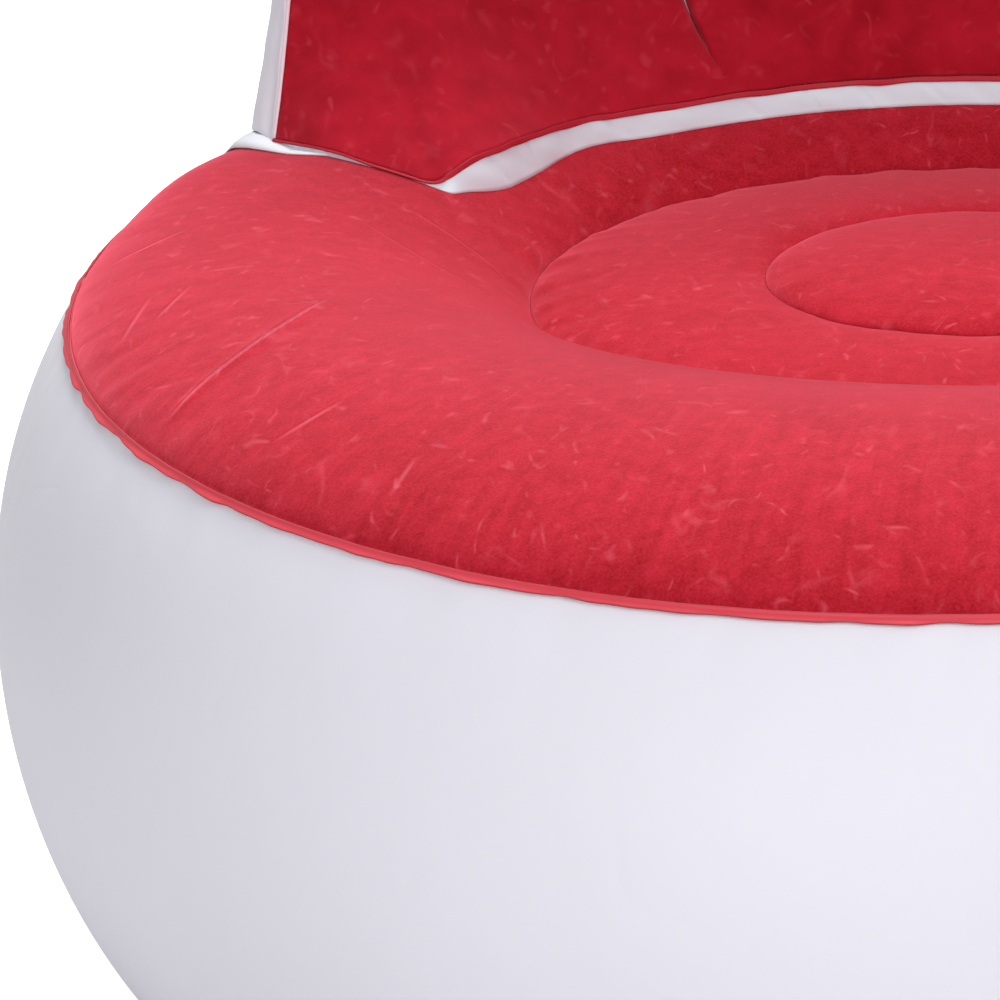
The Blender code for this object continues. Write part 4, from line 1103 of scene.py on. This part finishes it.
def chamber_panel(foot, soft_feet, across, spine_sizes, settle, lobe_share, facing, rows):
    """A backrest sheet: height share up from its foot, by across.

    The plan line moves from the foot through rounder ones, each by a smooth step of the
    rise, and on to a half-oval spine by one less an exponential of it. Lobes swell between
    the beams by a crown, a narrow bell curve draws a groove in at each beam, and the whole
    leans and tapers.
    """
    half_width, end_y, middle_y = spine_sizes
    angle = spine_angle(across)
    depth = middle_y - end_y
    line = np.stack([half_width * np.sin(angle), end_y + depth * np.cos(angle)], -1)
    normal = unit(np.stack([depth * np.sin(angle), half_width * np.cos(angle)], -1))
    side = np.abs(across)
    beam_x = half_width * math.sin(BEAM_SPINE_ANGLE)
    inner = np.clip(side / BEAM_ACROSS, 0, 1)
    outer = np.clip((side - BEAM_ACROSS) / (1 - BEAM_ACROSS), 0, 1)
    swell = beam_x * crown(inner, RING_FULLNESS)
    swell = swell + (half_width - beam_x + depth / 2) * crown(outer, RING_FULLNESS)
    swell = swell * lobe_share * facing
    corner = foot[0, 2] + SIDE_EDGE_HEIGHT
    arch = np.sqrt(np.clip(1 - side**ARCH_POWER, 0, None))
    top = corner + (BACK_TOP_HEIGHT - corner) * arch
    share = (np.linspace(0, 1, rows) ** ROW_CROWDING)[:, None]
    rise = (top - foot[:, 2]) * share
    settled = (1 - np.exp(-rise / settle))[..., None]
    low = foot[:, :2]
    for soft_foot, start, height in soft_feet:
        weight = smooth_step((rise - start) / height)[..., None]
        low = low * (1 - weight) + soft_foot[:, :2] * weight
    plan = low * (1 - settled) + line * settled
    plan = plan + normal * (swell * crown(share, RING_FULLNESS))[..., None] * settled
    groove = 0
    for place, start in GROOVES:
        bell = np.exp(-(((side - place) / GROOVE_WIDTH) ** 2))
        groove = groove + bell * smooth_step((rise - start) / GROOVE_EASE)
    groove = facing * GROOVE_DEPTH * groove * smooth_step((1 - share) / 0.1)
    plan = plan - normal * groove[..., None]
    plan[..., 0] *= 1 - rise * math.tan(BACK_TAPER) / half_width
    plan[..., 1] += rise * math.tan(BACK_LEAN)
    return np.concatenate([plan, (foot[:, 2] + rise)[..., None]], -1)


def gather_edges(points, normals, seed):
    """Adds gathers beside all four edges of a grid sheet, along its normals, none on the edges."""
    length = path_length(points[-1])
    height = path_length(points[:, len(points[0]) // 2])
    from_foot = height[:, None] + 0 * length
    from_top = height[-1] - from_foot
    from_left = length + 0 * height[:, None]
    from_right = length[-1] - from_left
    swell = 0
    for index, (along, away) in enumerate(
        (
            (length[None, :], from_foot),
            (length[None, :], from_top),
            (height[:, None], from_left),
            (height[:, None], from_right),
        )
    ):
        gather = pucker(along, away, *PANEL_GATHER, seed + index)
        swell = swell + gather * smooth_step(away / 0.010)
    nearest = np.minimum(np.minimum(from_foot, from_top), np.minimum(from_left, from_right))
    return points + normals * (swell * smooth_step(nearest / 0.012))[..., None]


def front_points():
    """The red front panel's grid, with a small swell at the toe.

    The swell is the rise times an exponential of it, towards the sitter between the wings.
    """
    across = back_across()
    foot = gusset_seam(across) + np.array([0, 0, SKIN + FIT_GAP])
    soft_feet = [
        (foot_path(across, 0, smoothing), start, height)
        for smoothing, start, height in FOOT_ROUNDING
    ]
    points = chamber_panel(
        foot, soft_feet, across, FRONT_SPINE, FRONT_SETTLE_HEIGHT, FRONT_LOBE_SHARE, -1, 84
    )
    rise = (points[..., 2] - foot[:, 2]) / TOE_HEIGHT
    inside = smooth_step((WING_ACROSS - 0.08 - np.abs(across)) / 0.2)
    toe = TOE_SWELL * inside * rise * np.exp(1 - rise)
    points[..., :2] -= unit(foot[:, :2]) * toe[..., None]
    return points


def rear_points(valve):
    """The white rear panel's grid, pressed flat under the valve's flange."""
    across = back_across()
    bearing = REAR_CORNER_BEARING * across
    foot = on_ring(bearing, REAR_FOOT_SHARE, 2 * SKIN + 3 * FIT_GAP)
    points = chamber_panel(
        foot, (), across, REAR_SPINE, REAR_SETTLE_HEIGHT, REAR_LOBE_SHARE, 1, 64
    )
    return press_flat(points, *valve)


def apron(bearing, share):
    """Puff of the foot sheet outside the backrest.

    It is a sine of the outer half of the ring share, brought down at the front edge by an
    exponential of the distance from it.
    """
    away = (WING_BEARING + FOOT_WEDGE - FOOT_TUCK - np.abs(bearing)) * RIM_HALF_WIDTH
    puff = np.sin(math.pi * np.clip((share - 0.62) / 0.38, 0, 1)) ** 0.8
    return APRON_RISE * puff * (1 - np.exp(-np.clip(away, 0, None) / APRON_EDGE))


def make_foot(finishes):
    """The white sheet on the seat ring: bearing between the wings, by share out to the rim."""
    bearing = np.linspace(-WING_BEARING, WING_BEARING, 260)[None, :]
    share = np.linspace(FOOT_HIDE, 1, 44)[:, None]
    wedge = FOOT_WEDGE * smooth_step((share - 0.36) / 0.30) - FOOT_TUCK
    wedge = wedge * (bearing / WING_BEARING) ** 5
    puff = apron(bearing + wedge, share)
    points = on_ring(bearing + wedge, share + 0 * bearing, SKIN + FIT_GAP + puff)
    along = share * (RIM_HALF_WIDTH - FOOT_RADIUS)
    away = (WING_BEARING - np.abs(bearing)) * RIM_HALF_WIDTH
    ripple = pucker(along, away, *FOOT_GATHER)
    points[..., 2] += np.clip(ripple, 0, None) * smooth_step(share / 0.1)
    rim = wall_points(ring_plan((bearing + wedge)[-1], 1.0)[0], RIM_ANGLE, 2 * SKIN + FIT_GAP)
    points[-1] = rim + np.array([0, 0, 2 * FIT_GAP + SKIN])
    # The sheet takes the lighter white, painted light over its shade.
    piece = add_sheet("backrest_foot_sheet", points, (0, 0, 0), [finishes["creased"]])
    return dress(piece, "chair", "white_vinyl", "backrest_foot_panel")


def make_strip(finishes):
    """The narrow white strip: along the front foot, by height up to the seam.

    It is bowed out by a crown, faintly pleated by sine waves, and creased by narrow bells.
    """
    across = np.linspace(-1, 1, 900)
    foot = foot_path(across, FIT_GAP)
    seam = gusset_seam(across)
    share = np.linspace(0, 1, 9)[:, None, None]
    points = foot + (seam - foot) * share
    rise = (seam - foot)[:, 2]
    length = path_length(foot)
    slant = length + STRIP_FOLD_SLANT * share[..., 0]
    pleat = np.sin(math.tau * slant / STRIP_FOLD_APART + 1.3 * np.sin(math.tau * length / 0.21))
    pleat = np.sign(pleat) * np.abs(pleat) ** 3
    bow = crown(share[..., 0], 1.0) * rise * (0.035 + 0.05 * pleat)
    turn = slant / STRIP_CREASE_APART + 0.4 * np.sin(math.tau * length / 0.17)
    apart = (turn - np.round(turn)) * STRIP_CREASE_APART / STRIP_CREASE_WIDTH
    crease = STRIP_CREASE_DEPTH * np.exp(-(apart**2)) * crown(share[..., 0], 0.5)
    bow = bow - crease * np.clip(rise / GUSSET_RISE, 0, 1)
    points[..., :2] -= unit(foot[:, :2]) * bow[..., None]
    inside = (0, 2 * REAR_SPINE[2], 0)
    # The strip takes the blue-green tinted white, painted light against the red bounce.
    piece = add_sheet("backrest_strip_sheet", points, inside, [finishes["strip"]])
    return dress(piece, "chair", "white_vinyl", "backrest_front_gusset")


def add_margin(name, path, outward, inside, finishes, slot, seed, width=PANEL_MARGIN_WIDTH):
    """A seam margin: along a path, by distance outwards, with a waving cut edge."""
    wave = 0.6 * edge_wave(path_length(path), seed)
    sway = unit(np.cross(np.gradient(path, axis=0), outward))
    across = np.linspace(0, 1, 5)[:, None, None]
    points = path + outward * across * (width * (1 + 0.16 * wave))[:, None]
    points = points + sway * across**2 * (width * 0.14 * wave)[:, None]
    piece = add_sheet(name, points, inside, finishes)
    return dress(piece, "chair", slot)


def make_front_foot_margin(finishes):
    """The red margin along the front panel's foot: along the seam, by distance down over the strip.

    Where the strip is high it hangs down, and where the strip dies away it lies out on
    the seat.
    """
    across = np.linspace(-1, 1, 900)
    seam = gusset_seam(across)
    rise = gusset_rise(across, foot_path(across, 0, SEAM_SMOOTHING))
    tangent = unit(np.gradient(seam[:, :2], axis=0))
    outward = np.stack([tangent[:, 1], -tangent[:, 0]], -1)
    hang = smooth_step(rise / (0.7 * GUSSET_RISE))[:, None]
    flat = np.concatenate([outward * 0.75, -0.65 + 0 * rise[:, None]], -1)
    down = np.concatenate([outward * 0.30, -0.95 + 0 * rise[:, None]], -1)
    lift = np.concatenate([outward * SKIN, SKIN + FIT_GAP + 0 * rise[:, None]], -1)
    way = unit(flat * (1 - hang) + down * hang) * (0.4 + 0.6 * hang)
    return add_margin(
        "backrest_foot_margin",
        seam + lift,
        way,
        (0, REAR_SPINE[2], -1.0),
        [finishes["foot margin"]],
        "red_flock",
        21.0,
    )


def make_edge_margins(finishes, front_grid, rear_grid):
    """Seam margins round both backrest panels: along each outline, by distance outwards."""
    centre = (0, REAR_SPINE[1], (RIM_HEIGHT + BACK_TOP_HEIGHT) / 2)
    inner = 6
    for name, grid, width, step, tilt, key, slot in (
        ("backrest_front_margin", front_grid, 0.0014, -0.0006, -0.35, "weld line", "red_flock"),
        ("backrest_front_band_margin", front_grid, 0.0028, 0.0004, -0.2, "white", "white_vinyl"),
        ("backrest_rear_margin", rear_grid, 0.0021, 0.0, 0.0, "white", "white_vinyl"),
    ):
        path = outline(grid)
        within = outline(grid[: 1 - inner, inner - 1 : 1 - inner])
        count = 700
        path, within = resampled(path, count), resampled(within, count)
        outward = path - within
        tangent = unit(np.gradient(path, axis=0))
        outward = unit(outward - tangent * np.sum(outward * tangent, -1, keepdims=True))
        outward = unit(outward + np.array([0, tilt, 0]))
        shift = np.array([0, step, 0]) - outward * SKIN
        add_margin(name, path + shift, outward, centre, [finishes[key]], slot, 23.0, width)


def make_front(finishes, points):
    """The red front panel of the backrest."""
    normals = -grid_normals(points)
    normals = normals * np.sign(np.sum(normals * np.array([0, -1, 0])))
    points = gather_edges(points, normals, 11.0)
    piece = add_sheet(
        "backrest_front_sheet",
        points,
        (0, 2 * REAR_SPINE[2], BACK_TOP_HEIGHT),
        [finishes["back flock"]],
    )
    return dress(piece, "chair", "red_flock", "backrest_front_panel")


def make_rear(finishes, points, valve):
    """The white rear panel of the backrest."""
    hole = (*valve, HOUSING_RADIUS + FIT_GAP)
    piece = add_sheet(
        "backrest_rear_sheet", points, (0, 0, RIM_HEIGHT), [finishes["white"]], hole=hole
    )
    return dress(piece, "chair", "white_vinyl", "backrest_rear_panel")


def outline(points):
    """A panel's edge from one foot corner over the top to the other."""
    return np.concatenate([points[:-1, 0], points[-1], points[-2::-1, -1]])


def resampled(path, count):
    """The same path with evenly spaced points."""
    length = path_length(path)
    return along_path(path, length, np.linspace(0, length[-1], count))


def make_band(finishes, front_grid, rear_grid):
    """The white edge band: along the two panels' outlines, by share from front to rear.

    It bows out by a crown of the share, and both ends bend down to the foot sheet by an
    exponential of their height.
    """
    front = outline(front_grid)
    rear = outline(rear_grid)
    ends = (len(front_grid) - 1, len(rear_grid) - 1)
    parts = []
    for path, rows in ((front, ends[0]), (rear, ends[1])):
        left, top, right = path[: rows + 1], path[rows:-rows], path[-rows - 1 :]
        pieces = [resampled(left, 70)[:-1], resampled(top, 300), resampled(right, 70)[1:]]
        parts.append(np.concatenate(pieces))
    front, rear = parts
    chord = rear - front
    length = np.linalg.norm(chord, axis=1, keepdims=True)
    tangent = np.gradient((front + rear) / 2, axis=0)
    outward = unit(np.cross(tangent, chord / length))
    centre = np.array([0, REAR_SPINE[1], RIM_HEIGHT])
    outward = outward * np.sign(np.sum(outward * (front - centre)))
    share = np.linspace(0, 1, 22)[:, None, None]
    swell = outward * length * BAND_SWELL_SHARE * crown(share, RING_FULLNESS)
    points = front + chord * share + swell
    along = path_length((front + rear) / 2)
    width = length[:, 0]
    away = np.minimum(share[..., 0], 1 - share[..., 0]) * width
    gather = pucker(along, away, *BAND_GATHER) * smooth_step(away / 0.008)
    points = points + outward * gather[..., None]
    way = np.linspace(0, 1, 24)
    turned = WING_BEARING + (REAR_CORNER_BEARING - WING_BEARING) * way**1.6
    shares = REAR_FOOT_SHARE + (WING_CORNER_SHARE - REAR_FOOT_SHARE) * (1 - way) ** 8
    shares = shares + BAND_FOOT_SWELL * crown(way, RING_FULLNESS)
    foot = on_ring(-turned, shares, 2 * SKIN + 3 * FIT_GAP + apron(turned, shares))
    foot[0] = gusset_seam(np.array([-1.0, 1.0]))[0]
    base = along_path(foot, way, share[:, 0, 0])
    half = points.shape[1] // 2
    for side, index, span in ((1, 0, slice(0, half)), (-1, -1, slice(half, None))):
        goal = base * np.array([side, 1, 1])
        low = points[:, span, 2] - base[:, None, 2]
        fall = np.exp(-np.clip(low, 0, None) / BAND_SETTLE_HEIGHT)
        fall = fall / fall[:, index][:, None]
        shift = goal - points[:, index]
        points[:, span] += shift[:, None, :] * np.clip(fall, 0, 1)[..., None]
    piece = add_sheet(
        "backrest_edge_sheet", points, (0, REAR_SPINE[1], RIM_HEIGHT), [finishes["white"]]
    )
    return dress(piece, "chair", "white_vinyl", "backrest_edge_band")


# Valves


def valve_pose(frame, prefix):
    """Place and unit axis of a valve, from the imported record's joint."""
    joint = next(j for j in frame["joints"] if j["name"] == prefix + "_insert_turn")
    return np.array(joint["pos_m"], float), unit(np.array(joint["axis"], float))


def valve_matrix(place, axis):
    """A 3 by 4 frame whose Z is the valve's axis, with Y up."""
    side = unit(np.cross((0.0, 0.0, 1.0), axis))
    upright = np.cross(axis, side)
    return np.stack([side, upright, axis, place], axis=1)


def in_frame(matrix, points):
    return points @ matrix[:, :3].T + matrix[:, 3]


def rounded(profile, radius, steps=4):
    """A closed outline whose corners are parabolas between points a radius away along each side."""
    profile = np.array(profile, float)
    before = np.roll(profile, 1, axis=0) - profile
    after = np.roll(profile, -1, axis=0) - profile
    reach_before = np.minimum(radius, 0.45 * np.linalg.norm(before, axis=1))[:, None]
    reach_after = np.minimum(radius, 0.45 * np.linalg.norm(after, axis=1))[:, None]
    start = (profile + unit(before) * reach_before)[:, None]
    end = (profile + unit(after) * reach_after)[:, None]
    share = np.linspace(0, 1, steps)[None, :, None]
    corner = start * (1 - share) ** 2 + profile[:, None] * 2 * share * (1 - share)
    return (corner + end * share**2).reshape(-1, 2)


def square_ring(inner, outer, low, high, rounding):
    """The outline of a flat ring with rounded edges."""
    return rounded([(outer, low), (outer, high), (inner, high), (inner, low)], rounding)


def add_turned(name, outline_points, matrix, finish, shape=None, sides=96):
    """A turned solid: a closed outline of radius and height, by angle about the frame's Z.

    shape is a function of radius, height and angle that returns the cut radius. An
    outline that touches the axis is open there, and its two ends become poles.
    """
    angle = np.linspace(0, math.tau, sides, endpoint=False)[None, :]
    radius = outline_points[:, :1] + 0 * angle
    height = outline_points[:, 1:] + 0 * angle
    if shape:
        radius = shape(radius, height, angle)
    points = np.stack([radius * np.cos(angle), radius * np.sin(angle), height], -1)
    rows = len(outline_points)
    poles = outline_points[0, 0] < FIT_GAP
    quads = grid_quads(rows, sides, True, not poles)
    if poles:
        last = (rows - 1) * sides
        quads = np.where(quads < sides, 0, np.where(quads >= last, last, quads))
    used, quads = np.unique(quads, return_inverse=True)
    flat = points.reshape(-1, 3)[used]
    whole, fans = split_fans(quads.reshape(-1, 4))
    corners = flat[np.concatenate([whole[:, :3], whole[:, [0, 2, 3]], fans])]
    if np.sum(corners[:, 0] * np.cross(corners[:, 1], corners[:, 2])) < 0:
        whole, fans = whole[:, ::-1], fans[:, ::-1]
    return add_mesh(name, in_frame(matrix, flat), (whole, fans), [finish])


def scalloped(limit, count, depth):
    """A grip: the radius beyond the limit is cut by a rectified cosine of the angle to a power."""

    def shape(radius, height, angle):
        notch = np.abs(np.cos(angle * count / 2)) ** 6
        return np.where(radius > limit, radius - depth * notch, radius)

    return shape


def threaded(limit, low, high, pitch, side):
    """A thread: between two heights, radii at the limit move by a sine ridge along a helix."""

    def shape(radius, height, angle):
        turn = (height / pitch - angle / math.tau) % 1
        ridge = np.sin(math.pi * np.clip(turn / 0.55, 0, 1))
        end = smooth_step((height - low) / pitch) * smooth_step((high - height) / pitch)
        on = np.abs(radius - limit) < FIT_GAP / 2
        return np.where(on, radius + side * THREAD_DEPTH * (1 - ridge) * end, radius)

    return shape


def wall_line(radius, low, high, count):
    """Points down a straight wall, so that a thread has rows to move."""
    return [(radius, height) for height in np.linspace(low, high, count)]


def make_valve(prefix, place, axis, finishes):
    """One whole valve, each piece on its own body."""
    matrix = valve_matrix(place, axis)
    top = FIT_GAP + FLANGE_THICKNESS
    housing = rounded(
        [
            (HOUSING_RADIUS, HOUSING_REACH_OUT),
            (HOUSING_RADIUS + 0.0006, top + 0.0006),
            (HOUSING_RADIUS + 0.0022, top),
            (FLANGE_RADIUS - 0.0030, top),
            (FLANGE_RADIUS - 0.0026, top - 0.0003),
            (FLANGE_RADIUS - 0.0012, top - 0.0003),
            (FLANGE_RADIUS - 0.0008, top),
            (FLANGE_RADIUS, top),
            (FLANGE_RADIUS, FIT_GAP),
            (HOUSING_RADIUS, FIT_GAP),
            (HOUSING_RADIUS, -HOUSING_REACH_IN),
            (HOUSING_BORE, -HOUSING_REACH_IN),
            (HOUSING_BORE, HOUSING_REACH_OUT),
        ],
        0.0004,
    )
    piece = add_turned(prefix + "_valve_body", housing, matrix, finishes["soft"])
    dress(piece, "chair", "soft_valve_vinyl", prefix + "_valve_housing")
    low = HOUSING_REACH_OUT + FIT_GAP
    washer = square_ring(HOUSING_BORE, HOUSING_RADIUS, low, low + SEAL_THICKNESS, 0.0003)
    piece = add_turned(prefix + "_collar_washer", washer, matrix, finishes["rubber"])
    dress(piece, prefix + "_insert_rise", "seal_rubber", prefix + "_insert_seal")
    lip = [(NECK_RADIUS, COLLAR_TOP), (VALVE_BORE, NECK_TOP), (NECK_RADIUS, NECK_TOP)]
    collar = [
        (NECK_RADIUS, COLLAR_TOP),
        (COLLAR_RADIUS, COLLAR_TOP),
        (COLLAR_RADIUS, COLLAR_BASE),
        (INSERT_RADIUS, COLLAR_BASE),
    ]
    seat_top = SEAT_THICKNESS - INSERT_REACH_IN
    insert = np.concatenate(
        [
            rounded(lip, 0.0003)[4:],
            wall_line(NECK_RADIUS, NECK_TOP - 0.0006, COLLAR_TOP + 0.0004, 26),
            rounded(collar, 0.0005)[4:12],
            wall_line(INSERT_RADIUS, COLLAR_BASE, -INSERT_REACH_IN, 60),
            [(VALVE_SEAT_BORE, -INSERT_REACH_IN), (VALVE_SEAT_BORE, seat_top)],
            [(VALVE_BORE, seat_top)],
        ]
    )
    grip = scalloped(COLLAR_RADIUS - 0.0012, 24, 0.0009)
    neck_thread = threaded(NECK_RADIUS, COLLAR_TOP, NECK_TOP, CAP_THREAD_PITCH, -1)
    body_thread = threaded(INSERT_RADIUS, -INSERT_REACH_IN, COLLAR_BASE, THREAD_PITCH, -1)

    def insert_shape(radius, height, angle):
        return body_thread(neck_thread(grip(radius, height, angle), height, angle), height, angle)

    piece = add_turned(prefix + "_insert", insert, matrix, finishes["plastic"], insert_shape)
    dress(piece, prefix + "_insert", "valve_plastic", prefix + "_valve_insert")
    flap_height = -INSERT_REACH_IN - FIT_GAP - FLAP_THICKNESS
    hinge = in_frame(matrix, np.array([0, FLAP_RADIUS, flap_height]))
    flap_matrix = matrix.copy()
    flap_matrix[:, 3] = hinge - matrix[:, 1] * FLAP_RADIUS
    disc = np.array(
        [(0, FLAP_THICKNESS)]
        + [(FLAP_RADIUS - 0.0003, FLAP_THICKNESS), (FLAP_RADIUS, FLAP_THICKNESS - 0.0003)]
        + [(FLAP_RADIUS, 0.0003), (FLAP_RADIUS - 0.0003, 0), (0, 0)]
    )
    piece = add_turned(prefix + "_flap", disc, flap_matrix, finishes["rubber"], sides=48)
    dress(piece, prefix + "_flap", "seal_rubber", prefix + "_check_flap")
    low = NECK_TOP + FIT_GAP
    washer = square_ring(VALVE_BORE, NECK_RADIUS, low, low + SEAL_THICKNESS, 0.0003)
    piece = add_turned(prefix + "_cap_washer", washer, matrix, finishes["rubber"])
    dress(piece, prefix + "_cap_rise", "seal_rubber", prefix + "_cap_seal")
    cap = np.array(
        [(0, BUTTON_TOP), (BUTTON_RADIUS - 0.0012, BUTTON_TOP)]
        + [(BUTTON_RADIUS - 0.0003, BUTTON_TOP - 0.0003), (BUTTON_RADIUS, BUTTON_TOP - 0.0008)]
        + [(BUTTON_RADIUS - 0.0002, BUTTON_BASE), (STEM_RADIUS, BUTTON_BASE)]
        + [(STEM_RADIUS, CAP_TOP), (CAP_RADIUS - 0.0035, CAP_TOP)]
        + [(CAP_RADIUS - 0.0030, CAP_TOP - 0.0003), (CAP_RADIUS - 0.0010, CAP_TOP - 0.0003)]
        + [(CAP_RADIUS - 0.0003, CAP_TOP - 0.0006), (CAP_RADIUS, CAP_TOP - 0.0012)]
        + [(CAP_RADIUS, CAP_SKIRT_LOW + 0.0004), (CAP_RADIUS - 0.0004, CAP_SKIRT_LOW)]
        + [(CAP_BORE, CAP_SKIRT_LOW)]
        + wall_line(CAP_BORE, CAP_SKIRT_LOW + 0.0002, CAP_UNDERSIDE - 0.0002, 24)
        + [(CAP_BORE, CAP_UNDERSIDE), (0, CAP_UNDERSIDE)]
    )
    ribs = scalloped(CAP_RADIUS - 0.0011, 36, 0.0005)
    piece = add_turned(prefix + "_cap", cap, matrix, finishes["plastic"], ribs, sides=216)
    dress(piece, prefix + "_cap", "valve_plastic", prefix + "_valve_cap")
    make_tether(prefix, matrix, finishes)


def make_tether(prefix, matrix, finishes):
    """The cap's strap, with an eye at each end.

    Its oblong section is carried along a straight, a half circle and a straight.
    """
    low = COLLAR_TOP + FIT_GAP
    high = CAP_TOP + FIT_GAP
    start, end = low + TETHER_THICKNESS / 2, high + TETHER_THICKNESS / 2
    bend = (end - start) / 2
    centre = TETHER_LOOP_REACH - bend
    neck_eye = NECK_RADIUS + FIT_GAP
    stem_eye = STEM_RADIUS + FIT_GAP
    turn = np.linspace(-math.pi / 2, math.pi / 2, 40)
    radius = np.concatenate(
        [
            np.linspace(neck_eye + TETHER_RING_WALL / 2, centre, 8)[:-1],
            centre + bend * np.cos(turn),
            np.linspace(centre, stem_eye + TETHER_RING_WALL / 2, 14)[1:],
        ]
    )
    height = np.concatenate(
        [np.full(7, start), start + bend + bend * np.sin(turn), np.full(13, end)]
    )
    path = np.stack([radius, 0 * radius, height], -1)
    tangent = unit(np.gradient(path, axis=0))
    face = np.stack([-tangent[:, 2], 0 * radius, tangent[:, 0]], -1)
    round_turn = np.linspace(0, math.tau, 24, endpoint=False)
    wide = np.sign(np.cos(round_turn)) * np.abs(np.cos(round_turn)) ** 0.35
    thick = np.sign(np.sin(round_turn)) * np.abs(np.sin(round_turn)) ** 0.6
    section = np.stack([wide * TETHER_STRAP_WIDTH / 2, thick * TETHER_STRAP_THICKNESS / 2], -1)
    points = path[:, None] + face[:, None] * section[None, :, 1:]
    points[..., 1] += section[None, :, 0]
    rows, sides = points.shape[:2]
    quads = grid_quads(rows, sides, around=True)[:, [0, 3, 2, 1]]
    index = np.arange(rows * sides).reshape(rows, sides)
    faces = (quads, index[:1], index[-1:, ::-1])
    flat = in_frame(matrix, points.reshape(-1, 3))
    strap = add_mesh(prefix + "_tether_strap", flat, faces, [finishes["soft"]])
    dress(strap, prefix + "_cap_rise", "soft_valve_vinyl", prefix + "_cap_tether")
    for label, bore, base in (("neck", neck_eye, low), ("stem", stem_eye, high)):
        eye = square_ring(bore, bore + TETHER_RING_WALL, base, base + TETHER_THICKNESS, 0.0004)
        piece = add_turned(f"{prefix}_tether_{label}_eye", eye, matrix, finishes["soft"])
        dress(piece, prefix + "_cap_rise", "soft_valve_vinyl")


# Studio


def make_camera():
    camera = bpy.data.objects.new("camera", bpy.data.cameras.new("camera"))
    bpy.context.scene.collection.objects.link(camera)
    back = [-value for value in CAMERA_AHEAD]
    turn = Matrix((CAMERA_RIGHT, CAMERA_UP, back)).transposed().to_4x4()
    camera.matrix_world = Matrix.Translation(Vector(CAMERA_PLACE)) @ turn
    camera.data.lens = CAMERA_LENS
    camera.data.sensor_width = 36.0
    camera.data.clip_start = 0.05
    camera.data.clip_end = 60.0
    bpy.context.scene.camera = camera


def add_light(name, place, target, size, power, colour):
    data = bpy.data.lights.new(name, "AREA")
    data.shape = "RECTANGLE"
    data.size, data.size_y = size
    data.energy = power
    data.color = colour
    light = bpy.data.objects.new(name, data)
    bpy.context.scene.collection.objects.link(light)
    light.location = place
    aim = Vector(target) - Vector(place)
    light.rotation_euler = aim.to_track_quat("-Z", "Y").to_euler()


def make_studio():
    """A pale floor, a white surround and large soft lights above and in front."""
    material, tree, shader = new_material("pale studio floor")
    shader.inputs["Base Color"].default_value = (0.62, 0.62, 0.63, 1)
    shader.inputs["Roughness"].default_value = 0.9
    shader.inputs["Emission Color"].default_value = (1, 1, 1, 1)
    shader.inputs["Emission Strength"].default_value = 0.04
    seen = tree.nodes.new("ShaderNodeEmission")
    seen.inputs["Strength"].default_value = 0.85
    sight = tree.nodes.new("ShaderNodeLightPath")
    glow = tree.nodes.new("ShaderNodeMixShader")
    both = tree.nodes.new("ShaderNodeAddShader")
    link(tree, sight.outputs["Is Camera Ray"], glow.inputs["Fac"])
    link(tree, shader.outputs["BSDF"], glow.inputs[1])
    link(tree, shader.outputs["BSDF"], both.inputs[0])
    link(tree, seen.outputs["Emission"], both.inputs[1])
    link(tree, both.outputs["Shader"], glow.inputs[2])
    link(tree, glow.outputs["Shader"], tree.nodes["Material Output"].inputs["Surface"])
    corners = np.array([(-1, -1, 0), (1, -1, 0), (1, 1, 0), (-1, 1, 0)], float) * FLOOR_REACH
    floor = add_mesh("floor", corners, (np.array([[0, 1, 2, 3]]),), [material])
    world = bpy.data.worlds.new("studio")
    bpy.context.scene.world = world
    world.use_nodes = True
    nodes = world.node_tree.nodes
    background = nodes["Background"]
    background.inputs["Color"].default_value = (0.96, 0.97, 1.0, 1)
    way = nodes.new("ShaderNodeTexCoord")
    up = parts_of(world.node_tree, way.outputs["Generated"])["Z"]
    high = math_node(world.node_tree, "MAXIMUM", up, 0.0)
    strength = math_node(world.node_tree, "MULTIPLY_ADD", high, 0.54, 0.22)
    link(world.node_tree, strength, background.inputs["Strength"])
    seen = nodes.new("ShaderNodeBackground")
    seen.inputs["Color"].default_value = (1, 1, 1, 1)
    seen.inputs["Strength"].default_value = 1.1
    path = nodes.new("ShaderNodeLightPath")
    mix = nodes.new("ShaderNodeMixShader")
    output = nodes["World Output"]
    link(world.node_tree, path.outputs["Is Camera Ray"], mix.inputs["Fac"])
    link(world.node_tree, background.outputs["Background"], mix.inputs[1])
    link(world.node_tree, seen.outputs["Background"], mix.inputs[2])
    link(world.node_tree, mix.outputs["Shader"], output.inputs["Surface"])
    for light in LIGHTS:
        add_light(*light)
    bpy.context.scene.view_settings.view_transform = "Standard"


def main():
    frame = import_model()
    make_camera()
    make_studio()
    finishes = make_finishes()
    base_valve = valve_pose(frame, "base")
    back_valve = valve_pose(frame, "back")
    front_grid = front_points()
    rear_grid = rear_points(back_valve)
    inflated = (
        make_seat(finishes),
        make_wall(finishes, base_valve),
        make_bottom(finishes),
        make_foot(finishes),
        make_strip(finishes),
        make_front(finishes, front_grid),
        make_rear(finishes, rear_grid, back_valve),
        make_band(finishes, front_grid, rear_grid),
    )
    make_rim_margin(finishes)
    make_bottom_margin(finishes)
    make_front_foot_margin(finishes)
    make_edge_margins(finishes, front_grid, rear_grid)
    make_valve("base", *base_valve, finishes)
    make_valve("back", *back_valve, finishes)
    for name in (
        "outer_seat_band",
        "inner_seat_band",
        "backrest_left_beam",
        "backrest_centre_beam",
        "backrest_right_beam",
    ):
        node = frame["nodes"][name]
        node.data.materials.clear()
        node.data.materials.append(finishes["milky"])


main()
